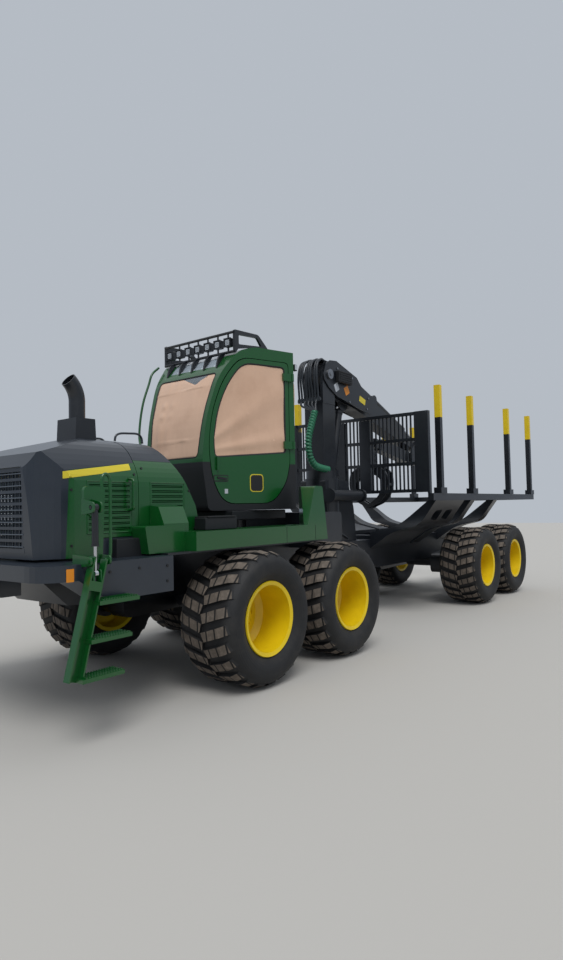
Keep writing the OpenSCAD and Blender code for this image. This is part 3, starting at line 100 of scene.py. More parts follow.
def newMaterial(name, look):
    # a principled shader whose plain values come from the look
    material = bpy.data.materials.new(name)
    material.use_nodes = True
    tree = material.node_tree
    shader = tree.nodes["Principled BSDF"]
    shader.inputs["Base Color"].default_value = linear(look["colour"])
    shader.inputs["Roughness"].default_value = look.get("roughness", 0.5)
    shader.inputs["Metallic"].default_value = look.get("metallic", 0.0)
    for socket in ("Coat Weight", "Coat Roughness", "IOR", "Transmission Weight", "Alpha", "Sheen Weight"):
        if socket in look:
            shader.inputs[socket].default_value = look[socket]
    material.diffuse_color = linear(look["colour"])
    return material, tree, shader


# Dust, and on the masking film painted shade, lies where a soft noise is above from, and is thickest above to
dustAndShadeTrim = {"detail": 6.0, "roughness": 0.62, "from": 0.45, "to": 0.72}


def addDustAndShade(tree, shader, look, where):
    # dry road dust in soft patches, and on the masking film painted shade; patch is the size of one in metres
    patches = addNode(tree, "ShaderNodeTexNoise",
                      {"Scale": 1 / look["patch"], "Detail": dustAndShadeTrim["detail"],
                       "Roughness": dustAndShadeTrim["roughness"]},
                      {"Vector": where.outputs["Object"]})
    spread = addNode(tree, "ShaderNodeMapRange",
                     {"From Min": dustAndShadeTrim["from"], "From Max": dustAndShadeTrim["to"], "To Min": look["least"],
                      "To Max": look["most"]},
                     {"Value": patches.outputs["Fac"]})
    dustedAndShaded = mixColours(tree, spread.outputs["Result"], look["colour"], look["dustAndShade"])
    tree.links.new(dustedAndShaded, shader.inputs["Base Color"])


def addGrain(tree, shader, where, grain, depth):
    # fine relief; grain is the size of one bump in metres
    noise = addNode(tree, "ShaderNodeTexNoise", {"Scale": 1 / grain, "Detail": 3.0},
                    {"Vector": where.outputs["Object"]})
    bump = addNode(tree, "ShaderNodeBump", {"Strength": depth, "Distance": grain * 0.3},
                   {"Height": noise.outputs["Fac"]})
    tree.links.new(bump.outputs["Normal"], shader.inputs["Normal"])


def newFinish(name, look):
    # a material with the dust (on the masking film, painted shade) and the grain that its look asks for
    material, tree, shader = newMaterial(name, look)
    where = addNode(tree, "ShaderNodeTexCoord") if "dustAndShade" in look or "grain" in look else None
    if "dustAndShade" in look:
        addDustAndShade(tree, shader, look, where)
    if "grain" in look:
        addGrain(tree, shader, where, *look["grain"])
    return material, tree, shader, where


# Tyre rubber scuffed by gravel on the lug faces, with dark bands of painted shade where grooves part each lug
# into blocks
def scuffedRubberWithGrooveShade():
    look = {"colour": "#5f564d", "roughness": 0.86, "grain": (0.008, 0.4),
            "dustAndShade": "#82766a", "patch": 0.05, "least": 0.0, "most": 0.8,
            "block": 0.105, "cut": "#141414", "cutFrom": 0.04, "cutTo": 0.1}
    material, tree, shader, where = newFinish("tyre_rubber_scuffed_groove_shade", look)
    waveRun = 0.314    # metres from one band to the next at a scale of 1
    bands = addNode(tree, "ShaderNodeTexWave",
                    {"bands_direction": "Y", "Scale": waveRun / look["block"], "Distortion": 0.6,
                     "Detail": 1.0},
                    {"Vector": where.outputs["Object"]})
    # near-black bands of painted shade in the grooves that part each lug into blocks
    cut = addNode(tree, "ShaderNodeMapRange", {"From Min": look["cutFrom"], "From Max": look["cutTo"]},
                  {"Value": bands.outputs["Fac"]})
    worn = shader.inputs["Base Color"].links[0].from_socket
    blocks = mixColours(tree, cut.outputs["Result"], look["cut"], worn)
    tree.links.new(blocks, shader.inputs["Base Color"])
    return material


# Tan polyethylene masking film stuck on the glass: peach, half shiny, with long soft creases and darker
# patches of painted shade
def maskingFilm():
    # the darker second colour is painted shade, laid in soft patches
    look = {"colour": "#d9b397", "roughness": 0.24, "Coat Weight": 0.3, "Coat Roughness": 0.1,
            "dustAndShade": "#c39c80", "patch": 0.5, "least": 0.0, "most": 0.6, "crease": 0.22, "relief": 0.5}
    material, tree, shader, where = newFinish("masking_film_polyethylene", look)
    stretch = addNode(tree, "ShaderNodeMapping", {"Scale": (1.0, 1.0, 0.22)},
                      {"Vector": where.outputs["Object"]})
    crease = addNode(tree, "ShaderNodeTexNoise",
                     {"Scale": 1 / look["crease"], "Detail": 2.0, "Distortion": 0.6},
                     {"Vector": stretch.outputs["Vector"]})
    bump = addNode(tree, "ShaderNodeBump", {"Strength": look["relief"], "Distance": 0.02},
                   {"Height": crease.outputs["Fac"]})
    tree.links.new(bump.outputs["Normal"], shader.inputs["Normal"])
    return material


# The other finishes, each with what it gives the eye; a grain is the size of one bump in metres and its depth
looks = {
    # sprayed and stoved enamel on pressed steel: deep colour, a clear sharp highlight, faint dust
    "green": ("green_enamel_sprayed_steel",
        {"colour": "#064e1a", "roughness": 0.28, "Coat Weight": 0.5,
         "Coat Roughness": 0.1,
         "dustAndShade": "#144f24", "patch": 0.35, "least": 0.0, "most": 0.4}),
    # sprayed yellow enamel on rolled steel rims: warm, satin, darker yellow in soft patches
    "yellow": ("yellow_enamel_rolled_steel",
        {"colour": "#e6c60c", "roughness": 0.42, "Coat Weight": 0.12,
         "Coat Roughness": 0.2,
         "dustAndShade": "#c8a80f", "patch": 0.25, "least": 0.0, "most": 0.5}),
    # black enamel on welded plate: satin, slightly blue under the sky, dusty on flat places
    "black": ("black_enamel_welded_plate",
        {"colour": "#13171d", "roughness": 0.38, "Coat Weight": 0.25,
         "Coat Roughness": 0.25, "grain": (0.006, 0.12),
         "dustAndShade": "#262a2f", "patch": 0.4, "least": 0.0, "most": 0.45}),
    # dark blue-grey polyurethane, moulded: broad soft highlight; real grain is under 1 mm, drawn coarser
    "dark": ("grey_polyurethane_moulded",
        {"colour": "#1f2731", "roughness": 0.34, "Coat Weight": 0.35,
         "Coat Roughness": 0.2, "grain": (0.004, 0.1),
         "dustAndShade": "#2f3740", "patch": 0.5, "least": 0.0, "most": 0.35}),
    # black polypropylene, moulded: duller than the paint beside it
    "plastic": ("black_polypropylene_moulded",
        {"colour": "#121519", "roughness": 0.55,
         "grain": (0.004, 0.1)}),
    # vulcanised tyre rubber: charcoal, dull, greyer where dust has dried
    "tyre": ("tyre_rubber_vulcanised",
        {"colour": "#17181a", "roughness": 0.68, "grain": (0.012, 0.25),
         "dustAndShade": "#302e2b", "patch": 0.16, "least": 0.0, "most": 0.55}),
    # the grille's bars and wires: a lighter grey than the frame about them, which is painted highlight where
    # they catch the light; satin
    "bar": ("grille_bars_painted_highlight",
        {"colour": "#49525c", "roughness": 0.4, "Coat Weight": 0.2}),
    # hard chrome plate on ground steel: mirror-like, faintly softened by wiping
    "chrome": ("chrome_plate_ground_steel",
        {"colour": "#c9ccd0", "roughness": 0.14, "metallic": 1.0}),
    # zinc-plated steel fittings: grey metal with a dull sheen
    "zinc": ("zinc_plate_steel_fittings",
        {"colour": "#9a9da1", "roughness": 0.38, "metallic": 1.0}),
    # toughened float glass with a grey tint: dark inside, bright with sky where it leans back
    "glass": ("tinted_glass_toughened",
        {"colour": "#6f7d88", "roughness": 0.05, "IOR": 1.52,
         "Transmission Weight": 0.6, "Coat Weight": 1.0,
         "Coat Roughness": 0.02}),
    # roof pane of polycarbonate, leaning back under the sky: pale with a painted reflection of the sky,
    # smooth, nearly mirror-like
    "roofGlassPaintedSky": ("roof_pane_polycarbonate_painted_sky",
        {"colour": "#a9b4bd", "roughness": 0.1, "Coat Weight": 1.0,
         "Coat Roughness": 0.03}),
    # rubber-covered hydraulic hose: charcoal with a bluish sheen along its back
    "hose": ("hose_rubber_wire_braided", {"colour": "#23282e", "roughness": 0.38}),
    # clear polycarbonate over the lamps: bright, smooth
    "lens": ("lamp_lens_polycarbonate",
        {"colour": "#b9c0c6", "roughness": 0.12, "Coat Weight": 0.6,
         "Coat Roughness": 0.05}),
    # extruded rubber seal and moulded rubber caps: near black, soft sheen; the same near black also gives the
    # painted shade in the valve slots and the cowl's vents
    "seal": ("seal_rubber_and_painted_slot_shade", {"colour": "#18191b", "roughness": 0.55}),
    # woven seat cloth over foam: dark grey, no highlight
    "cloth": ("seat_cloth_woven",
        {"colour": "#2d3034", "roughness": 0.9, "Sheen Weight": 0.3}),
    # green polyethylene spiral sleeve round the hoses: waxy, mid green
    "sleeve": ("spiral_sleeve_polyethylene", {"colour": "#1e6b4c", "roughness": 0.4}),
    # printed vinyl stickers, left blank: flat even colour, slight gloss
    "orange": ("vinyl_sticker_orange", {"colour": "#e08a1c", "roughness": 0.4}),
    "pale": ("vinyl_sticker_pale_grey", {"colour": "#b9bec4", "roughness": 0.4}),
    "lemon": ("vinyl_sticker_yellow", {"colour": "#d9c531", "roughness": 0.4}),
}


paint = {name: newFinish(title, look)[0] for name, (title, look) in looks.items()}
paint["lug"] = scuffedRubberWithGrooveShade()
paint["film"] = maskingFilm()
print("materials made,", len(paint))

# Which finish each solid takes; what isn't named is black
finishOfNode = {
    "bumper": "dark", "hood": "dark", "grille": "dark", "hood_sides": "green", "cowl": "green",
    "side_decks": "green", "cab_shell": "green", "cab_door": "green", "ladder": "green",
    "cab_skirt": "plastic", "cab_interior": "cloth", "cab_glazing": "glass", "door_glazing": "glass",
    "ladder_rod": "chrome", "steer_rod_left": "chrome", "steer_rod_right": "chrome", "lift_rod": "chrome",
    "fold_rod": "chrome",
}
for wheel in wheelNames:
    finishOfNode[f"tyre_{wheel}"] = "tyre"
    finishOfNode[f"rim_{wheel}"] = "yellow"


def setFinish(thing, *names):
    thing.data.materials.clear()
    for name in names:
        thing.data.materials.append(paint[name])


for nodeName, thing in nodes.items():
    setFinish(thing, finishOfNode.get(nodeName, "black"))
print("finishes set")


# Builders shared by the pieces below
def looseMesh(name, mesh, *names):
    # a finished piece that rides on nothing yet
    data = bpy.data.meshes.new(name)
    mesh.to_mesh(data)
    mesh.free()
    thing = bpy.data.objects.new(name, data)
    bpy.context.scene.collection.objects.link(thing)
    setFinish(thing, *names)
    return thing


def fromMesh(name, mesh, body, *names):
    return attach(looseMesh(name, mesh, *names), body)


def addBox(mesh, low, high, rounding=0.0):
    # low and high are corners in millimetres on the drawing
    a, b = at(*low), at(*high)
    made = bmesh.ops.create_cube(mesh, size=1.0)["verts"]
    for vert in made:
        vert.co = Vector([(a[i] + b[i]) / 2 + vert.co[i] * (b[i] - a[i]) for i in range(3)])
    if rounding:
        edges = list(dict.fromkeys(edge for vert in made for edge in vert.link_edges))
        bmesh.ops.bevel(mesh, geom=edges, offset=rounding * mm, segments=2, profile=0.5, affect="EDGES")


def addRod(mesh, start, end, radius, sides=20):
    # a closed round bar between two points, in metres
    start, end = Vector(start), Vector(end)
    turn = (end - start).to_track_quat("Z", "Y").to_matrix().to_4x4()
    turn.translation = (start + end) / 2
    bmesh.ops.create_cone(mesh, cap_ends=True, segments=sides, radius1=radius, radius2=radius,
                          depth=(end - start).length, matrix=turn)


def addPlate(mesh, outline, axis, low, high):
    # an outline drawn on the drawing's other two axes, given a thickness along axis
    def point(pair, depth):
        values = list(pair)
        values.insert(axis, depth)
        return at(*values)
    rows = [[mesh.verts.new(point(pair, depth)) for pair in outline] for depth in (low, high)]
    count = len(outline)
    faces = [mesh.faces.new(rows[0]), mesh.faces.new(list(reversed(rows[1])))]
    for i in range(count):
        j = (i + 1) % count
        faces.append(mesh.faces.new([rows[0][j], rows[0][i], rows[1][i], rows[1][j]]))
    bmesh.ops.recalc_face_normals(mesh, faces=faces)


def cutCopy(node, cuts, facing=None, least=0.15):
    # a copy of a solid's mesh: each cut keeps the side that its direction points to
    mesh = bmesh.new()
    mesh.from_mesh(nodes[node].data)
    for place, direction in cuts:
        whole = mesh.verts[:] + mesh.edges[:] + mesh.faces[:]
        bmesh.ops.bisect_plane(mesh, geom=whole, plane_co=at(*place), plane_no=Vector(direction),
                               clear_inner=True)
    mesh.normal_update()
    if facing:
        wanted = Vector(facing).normalized()
        away = [face for face in mesh.faces if face.normal.dot(wanted) < least]
        bmesh.ops.delete(mesh, geom=away, context="FACES")
    return mesh


def skinPatch(name, node, cuts, facing, lift, body, finish):
    # a thin skin over part of a solid
    thing = fromMesh(name, cutCopy(node, cuts, facing), body, finish)
    skin = thing.modifiers.new("skin", "SOLIDIFY")
    skin.thickness = lift * mm
    skin.offset = 1.0
    return thing


def outlineOf(node, facing, low=None, high=None):
    # the longest closed edge round the faces that look along facing, as points in metres
    mesh = bmesh.new()
    mesh.from_mesh(nodes[node].data)
    bmesh.ops.remove_doubles(mesh, verts=mesh.verts[:], dist=0.0001)
    mesh.normal_update()
    wanted = Vector(facing).normalized()
    away = [face for face in mesh.faces if face.normal.dot(wanted) < 0.6
            or (low and any(face.calc_center_median()[i] < at(*low)[i] for i in range(3)))
            or (high and any(face.calc_center_median()[i] > at(*high)[i] for i in range(3)))]
    bmesh.ops.delete(mesh, geom=away, context="FACES")
    # kept in order, so that a line starts at the same place in every run
    edges = dict.fromkeys(edge for edge in mesh.edges if len(edge.link_faces) == 1)
    loops = []
    while edges:
        edge = edges.popitem()[0]
        loop = [edge.verts[0], edge.verts[1]]
        while True:
            following = [e for e in loop[-1].link_edges if e in edges]
            if not following:
                break
            del edges[following[0]]
            loop.append(following[0].other_vert(loop[-1]))
        loops.append([vert.co.copy() for vert in loop])
    mesh.free()
    return max(loops, key=lambda points: sum((b - a).length for a, b in zip(points, points[1:])))


def addSeal(name, points, radius, body, finish):
    # an extruded rubber strip that follows a closed outline
    curve = bpy.data.curves.new(name, "CURVE")
    curve.dimensions = "3D"
    curve.bevel_depth = radius
    curve.bevel_resolution = 1
    line = curve.splines.new("POLY")
    line.points.add(len(points) - 2)
    for spot, place in zip(line.points, points):
        spot.co = (*place, 1.0)
    line.use_cyclic_u = True
    strip = bpy.data.objects.new(name, curve)
    bpy.context.scene.collection.objects.link(strip)
    setFinish(strip, finish)
    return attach(strip, body)


def surfaceOf(node):
    # a search tree over a solid's mesh, for laying things on it
    data = nodes[node].data
    return BVHTree.FromPolygons([vert.co.copy() for vert in data.vertices],
                                [list(face.vertices) for face in data.polygons])


def addTile(mesh, place, facing, wide, tall, thick, turn=0.0, rounding=0.0):
    # a flat plate standing on place; its sizes are in millimetres, turn in degrees
    facing = Vector(facing).normalized()
    right = Vector((0, 0, 1)).cross(facing)
    right = right.normalized() if right.length > 0.01 else Vector((0, 1, 0))
    up = facing.cross(right)
    c, s = math.cos(math.radians(turn)), math.sin(math.radians(turn))
    right, up = c * right + s * up, c * up - s * right
    made = bmesh.ops.create_cube(mesh, size=1.0)["verts"]
    standing = list(dict.fromkeys(edge for vert in made for edge in vert.link_edges
                                  if abs(edge.verts[0].co.z - edge.verts[1].co.z) > 0.5))
    for vert in made:
        vert.co = Vector((vert.co.x * wide, vert.co.y * tall, vert.co.z * thick))
    if rounding:
        corner = bmesh.ops.bevel(mesh, geom=standing, offset=rounding, segments=4, profile=0.5,
                                 affect="EDGES")
        made = set(corner["verts"]) | {vert for vert in made if vert.is_valid}
    for vert in made:
        local = vert.co * mm
        vert.co = place + right * local.x + up * local.y + facing * (local.z + thick * mm / 2)


def addBolt(mesh, place, facing, size, height, sides=6):
    # a bolt's head standing on place; sizes in millimetres
    facing = Vector(facing).normalized()
    addRod(mesh, place - facing * 2 * mm, place + facing * height * mm, size * mm / 2, sides)


def onWall(surface, x, z, side):
    # where a level line across the machine first meets the solid, and which way that face looks
    return surface.ray_cast(at(x, side * 2500, z), Vector((0, -side, 0)))[:2]


def boltWall(name, node, body, spots, size, height, sides):
    # bolts on both sides of a solid, each at an x and z where it has a wall
    surface = surfaceOf(node)
    bolts = bmesh.new()
    for side in (1, -1):
        for x, z in spots:
            place, facing = onWall(surface, x, z, side)
            if place:
                addBolt(bolts, place, facing, size, height, sides)
    fromMesh(name, bolts, body, "seal")


def smoothPath(points, steps):
    # a rounded line through every point
    spots = [Vector(point) for point in points]
    ends = [2 * spots[0] - spots[1]] + spots + [2 * spots[-1] - spots[-2]]
    path = []
    for a, b, c, d in zip(ends, ends[1:], ends[2:], ends[3:]):
        for k in range(steps):
            t = k / steps
            path.append(0.5 * (2 * b + (c - a) * t + (2 * a - 5 * b + 4 * c - d) * t * t
                               + (3 * b - a - 3 * c + d) * t ** 3))
    return path + [spots[-1]]


def addTube(mesh, points, radius, sides=10, steps=8, wave=0.0, pitch=0.03):
    # a hose or bar along a rounded line, in metres; wave is the height of its spiral ribs
    path = smoothPath(points, steps)
    if wave:
        path = smoothPath(path[::2] + [path[-1]], 6)
    side = None
    rings = []
    run = 0.0
    for k, spot in enumerate(path):
        ahead = (path[min(k + 1, len(path) - 1)] - path[max(k - 1, 0)]).normalized()
        if side is None:
            side = ahead.orthogonal().normalized()
        side = (side - ahead * side.dot(ahead)).normalized()
        other = ahead.cross(side)
        run += (spot - path[k - 1]).length if k else 0.0
        ring = []
        for n in range(sides):
            turn = 2 * math.pi * n / sides
            rib = max(0.0, math.sin(2 * math.pi * run / pitch + turn)) ** 0.5
            reach = radius + wave * rib
            ring.append(mesh.verts.new(spot + (side * math.cos(turn) + other * math.sin(turn)) * reach))
        rings.append(ring)
    for low, high in zip(rings, rings[1:]):
        for n in range(sides):
            face = mesh.faces.new([low[n], low[(n + 1) % sides], high[(n + 1) % sides], high[n]])
            face.smooth = True
    mesh.faces.new(list(reversed(rings[0])))
    mesh.faces.new(rings[-1])


# Wheels: scuffed lug faces with painted shade in their grooves, nuts in the deep yellow dish, and the valve's
# stem on a dark disc of painted shade for its slot
wheelTrim = {
    "lugDepth": 34, "lugFacing": 0.6, "clear": 0.6, "nuts": 12, "nutRing": 188, "beside": 9.0, "nutSize": 34,
    "nutHeight": 20, "slotTurn": 90.0, "slotRing": 262, "slotShadeRadius": 22, "slotShadeHigh": 3, "stem": 5,
    "stemHigh": 26,
}


def makeWheels():
    for wheel in wheelNames:
        tyre = nodes[f"tyre_{wheel}"]
        low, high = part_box(f"tyre_{wheel}")
        centre = (low + high) / 2
        outer = (high.z - low.z) / 2
        side = 1 if centre.y > 0 else -1
        setFinish(tyre, "tyre", "lug")
        for face in tyre.data.polygons:
            away = Vector((face.center.x - centre.x, 0, face.center.z - centre.z))
            raised = away.length > outer - wheelTrim["lugDepth"] * mm
            level = face.normal.dot(away.normalized()) > wheelTrim["lugFacing"]
            face.material_index = 1 if raised and level else 0
        makeHub(wheel, centre, Vector((0, side, 0)))


def makeHub(wheel, centre, outward):
    dish = surfaceOf(f"rim_{wheel}")
    ring = wheelTrim["nutRing"] * mm
    nuts = bmesh.new()
    for k in range(wheelTrim["nuts"]):
        turn = math.radians(k * 360 / wheelTrim["nuts"])
        beside = turn + math.radians(wheelTrim["beside"])
        reach = centre + outward * wheelTrim["clear"] + Vector((math.cos(beside), 0, math.sin(beside))) * ring
        seat = dish.ray_cast(reach, -outward)[0]
        spot = centre + Vector((math.cos(turn), 0, math.sin(turn))) * ring
        spot.y = seat.y
        addBolt(nuts, spot, outward, wheelTrim["nutSize"], wheelTrim["nutHeight"])
    fromMesh(f"wheel_nuts_{wheel}", nuts, f"wheel_{wheel}", "yellow")
    # the valve's slot is a dark disc of painted shade high on the dish, with the valve's stem standing in it
    turn = math.radians(wheelTrim["slotTurn"])
    away = Vector((math.cos(turn), 0, math.sin(turn)))
    reach = centre + outward * wheelTrim["clear"] + away * wheelTrim["slotRing"] * mm
    seat, facing = dish.ray_cast(reach, -outward)[:2]
    valve = bmesh.new()
    addBolt(valve, seat, facing, 2 * wheelTrim["slotShadeRadius"], wheelTrim["slotShadeHigh"], 20)
    addBolt(valve, seat, facing, 2 * wheelTrim["stem"], wheelTrim["stemHigh"], 10)
    fromMesh(f"valve_{wheel}", valve, f"wheel_{wheel}", "seal")


makeWheels()
print("wheels dressed")


# Crane: cover plates with pins on the boom's root, blank signs, the valve block, hoses and the green sleeve
craneTrim = {
    "pivot": (-2400, 3720), "slope": 16.29,
    "coverSide": (178, 190), "boss": (150, 26), "nut": (60, 38), "bolt": (34, 12),
    "coverBolts": ((640, -184.5), (180, 180), (620, 216), (1180, -81), (1180, 108)),
    "signThick": 2, "signRound": 6, "block": (160, 560), "blockSide": (192, 262, 270), "blockRibs": 5,
    "hoseRadius": 16, "hoses": 8, "spread": (-150, 190), "gathered": 5, "clamp": 30,
    "sleeveRadius": 40, "sleeveRib": 15, "sleevePitch": 0.046,
}
# the cover plate's outline, as run and rise on the boom
coverLines = [(-150, -60), (-130, 120), (-40, 215), (130, 285), (760, 292), (930, 212), (1330, 190),
              (1330, -120), (1000, -165), (300, -240), (40, -200), (-110, -130)]
# each sign's run, rise, width, height, lean and finish
signs = {
    "sign_pale": (235, -110, 118, 118, 45, "pale"),
    "sign_orange": (520, -40, 128, 128, 45, "orange"),
    "sign_lemon": (1010, 0, 190, 95, 0, "lemon"),
}
sleevePath = [(-2005, 170, 3110), (-1930, 178, 2960), (-1845, 182, 2780), (-1812, 182, 2620),
              (-1850, 180, 2440), (-1960, 176, 2330), (-2120, 172, 2290), (-2330, 170, 2270)]


def alongBoom(run, rise, y):
    # a place on the boom: run from its pivot to the elbow, rise above the line between them
    turn = math.radians(craneTrim["slope"])
    x = craneTrim["pivot"][0] - run * math.cos(turn) - rise * math.sin(turn)
    z = craneTrim["pivot"][1] - run * math.sin(turn) + rise * math.cos(turn)
    return x, y, z


def makeCovers():
    covers = bmesh.new()
    pins = bmesh.new()
    near, far = craneTrim["coverSide"]
    for side in (1, -1):
        outline = [(alongBoom(run, rise, 0)[0], alongBoom(run, rise, 0)[2]) for run, rise in coverLines]
        addPlate(covers, outline, 1, side * near, side * far)
        outward = (0, side, 0)
        pivot = at(*alongBoom(0, 0, side * far))
        addBolt(pins, pivot, outward, *craneTrim["boss"], 28)
        addBolt(pins, pivot, outward, *craneTrim["nut"], 6)
        for run, rise in craneTrim["coverBolts"]:
            addBolt(pins, at(*alongBoom(run, rise, side * far)), outward, *craneTrim["bolt"])
    fromMesh("boom_covers", covers, "main_boom_body", "black")
    fromMesh("boom_cover_pins", pins, "main_boom_body", "zinc")


def makeSigns():
    far = craneTrim["coverSide"][1]
    for name, (run, rise, wide, tall, lean, finish) in signs.items():
        sign = bmesh.new()
        for side in (1, -1):
            addTile(sign, at(*alongBoom(run, rise, side * far)), (0, side, 0), wide, tall,
                    craneTrim["signThick"], lean - side * craneTrim["slope"], craneTrim["signRound"])
        fromMesh(name, sign, "main_boom_body", finish)
    # the valve block with its ribbed cover stands on the boom's left side
    block = bmesh.new()
    near, face, rib = craneTrim["blockSide"]
    front, rear = [alongBoom(run, 40, near) for run in craneTrim["block"]]
    addBox(block, (rear[0], near, front[2] - 95), (front[0], face, front[2] + 85), 8)
    for k in range(craneTrim["blockRibs"]):
        z = front[2] - 72 + 33 * k
        addBox(block, (rear[0] + 18, face, z), (front[0] - 18, rib, z + 14))
    fromMesh("valve_block", block, "main_boom_body", "seal")


def makeHoses():
    low, high = craneTrim["spread"]
    radius = craneTrim["hoseRadius"] * mm
    across = [low + (high - low) * k / (craneTrim["hoses"] - 1) for k in range(craneTrim["hoses"])]
    bundle = bmesh.new()
    for k, y in enumerate(across):
        lift = 14 * (k % 3) - 14
        inward = y * 0.55
        addTube(bundle, [at(-2085, y, 3290), at(-2075, y, 3420), at(-2050 + lift, y, 3640),
                         at(-2090 + lift, y * 0.95, 3830), at(-2220, y * 0.85, 3925 + lift * 0.4),
                         at(-2440, inward, 3932 + lift * 0.5), at(*alongBoom(420, 330 + lift * 0.4, inward)),
                         at(*alongBoom(700, 318, inward * 0.8))], radius, 8, 6)
    hoses = looseMesh("boom_hoses", bundle, "hose")
    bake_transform(hoses)
    # the same hoses gathered below the clamp bar, and the bar itself
    lower = bmesh.new()
    for k in range(craneTrim["gathered"]):
        y = low + (high - low) * (k + 0.5) / craneTrim["gathered"]
        addTube(lower, [at(-2085, y, 3300), at(-2050, y * 0.9 + 20, 3220), at(-2012, 150 + 9 * k, 3120),
                        at(-1985, 150 + 9 * k, 3040)], radius, 8, 6)
    addBox(lower, (-2120, low - craneTrim["clamp"], 3280), (-2072, high + craneTrim["clamp"], 3325), 6)
    for y in across:
        addRod(lower, at(-2085, y, 3272), at(-2085, y, 3336), radius * 1.5, 8)
    fromMesh("pillar_hoses", lower, "pillar_body", "hose")
    sleeve = bmesh.new()
    addTube(sleeve, [at(*place) for place in sleevePath], craneTrim["sleeveRadius"] * mm, 14, 8,
            craneTrim["sleeveRib"] * mm, craneTrim["sleevePitch"])
    cover = looseMesh("hose_sleeve", sleeve, "sleeve")
    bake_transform(cover)


makeCovers()
makeSigns()
makeHoses()
print("crane dressed")


# Cab: film on the front, side, door and corner windows, with its folds, seals round the glass and the roof
# glass painted pale with the sky's reflection
cabTrim = {
    "filmPitch": 22, "filmLift": 1.0, "filmThick": 0.6, "foldHeight": 7, "foldWidth": 9,
    "folds": (3105, 2495), "creases": 12.0, "slack": 7.0, "tear": ((-70, 3248), (330, 3248), (170, 3150)),
    "sealRadius": 11, "doorSeal": 1.6, "roofGlassPaintedSky": 3275, "roofGlassRear": -60, "roofGlassHalf": 390,
}


def layFilm(name, node, facing, cuts, body, pitch, folds, tear=None):
    # masking film on the glass: the glass's own outer face, cut fine and lifted where it creases
    mesh = cutCopy(node, cuts, facing, 0.5)
    bmesh.ops.remove_doubles(mesh, verts=mesh.verts[:], dist=0.0001)
    across = 1 if abs(Vector(facing).x) > 0.5 else 0
    for axis in (across, 2):
        values = [vert.co[axis] for vert in mesh.verts]
        spot = min(values) + pitch * mm
        while spot < max(values) - pitch * mm / 2:
            direction = Vector([1.0 if i == axis else 0.0 for i in range(3)])
            bmesh.ops.bisect_plane(mesh, geom=mesh.verts[:] + mesh.edges[:] + mesh.faces[:],
                                   plane_co=direction * spot, plane_no=direction)
            spot += pitch * mm
    if tear:
        inside = []
        corners = [at(0, y, z) for y, z in tear]
        sides = list(zip(corners, corners[1:] + corners[:1]))
        for a, b in sides:
            direction = Vector((0, -(b - a).z, (b - a).y))
            bmesh.ops.bisect_plane(mesh, geom=mesh.verts[:] + mesh.edges[:] + mesh.faces[:], plane_co=a,
                                   plane_no=direction)
        for face in mesh.faces:
            spot = face.calc_center_median()
            turns = [(b.y - a.y) * (spot.z - a.z) - (b.z - a.z) * (spot.y - a.y) for a, b in sides]
            if all(t > 0 for t in turns) or all(t < 0 for t in turns):
                inside.append(face)
        bmesh.ops.delete(mesh, geom=inside, context="FACES")
    mesh.normal_update()
    moves = []
    for vert in mesh.verts:
        lift = 0 if vert.is_boundary else folds(vert.co)
        moves.append(vert.normal * (lift + cabTrim["filmLift"]) * mm)
    for vert, move in zip(mesh.verts, moves):
        vert.co += move
    for face in mesh.faces:
        face.smooth = True
    film = fromMesh(name, mesh, body, "film")
    skin = film.modifiers.new("skin", "SOLIDIFY")
    skin.thickness = cabTrim["filmThick"] * mm
    skin.offset = 1.0


def creaseOf(place, centre, count, reach):
    # long soft creases that fan out from one corner, where the film was pulled
    along = (place.x - centre.x) + (place.y - centre.y)
    rise = place.z - centre.z
    turn = math.atan2(rise, along)
    return reach * abs(math.sin(turn * count)) ** 4 * min(1.0, math.hypot(along, rise) * 2.5)


def wave(value):
    # a soft swell between 0 and 1
    return 0.5 + 0.5 * math.sin(value)


# How far the film stands off the glass at a place, in millimetres
def frontFolds(place):
    height = 0.0
    for level in cabTrim["folds"]:
        off = (place.z / mm - level - 30 * (place.y - 0.2)) / cabTrim["foldWidth"]
        height += cabTrim["foldHeight"] * math.exp(-off * off)
    left = math.exp(-((place.y + 0.22) / 0.1) ** 2)
    ripple = wave(place.z * 30 + 2 * math.sin(place.z * 11)) * wave(place.y * 40)
    slack = wave(place.y * 9 + 4 * place.z) * wave(place.z * 6 + 1.5 * math.sin(place.y * 5))
    return height + cabTrim["creases"] * left * ripple + cabTrim["slack"] * slack


def doorFolds(place):
    fan = creaseOf(place, at(430, 700, 2330), 6, 15.0)
    return fan + cabTrim["slack"] * wave(place.x * 11 + place.z * 3) * wave(place.z * 4 + 1)


def sideFolds(place):
    return creaseOf(place, at(-400, -700, 3500), 5, 9.0) + cabTrim["slack"] * wave(place.x * 10 + place.z * 6)


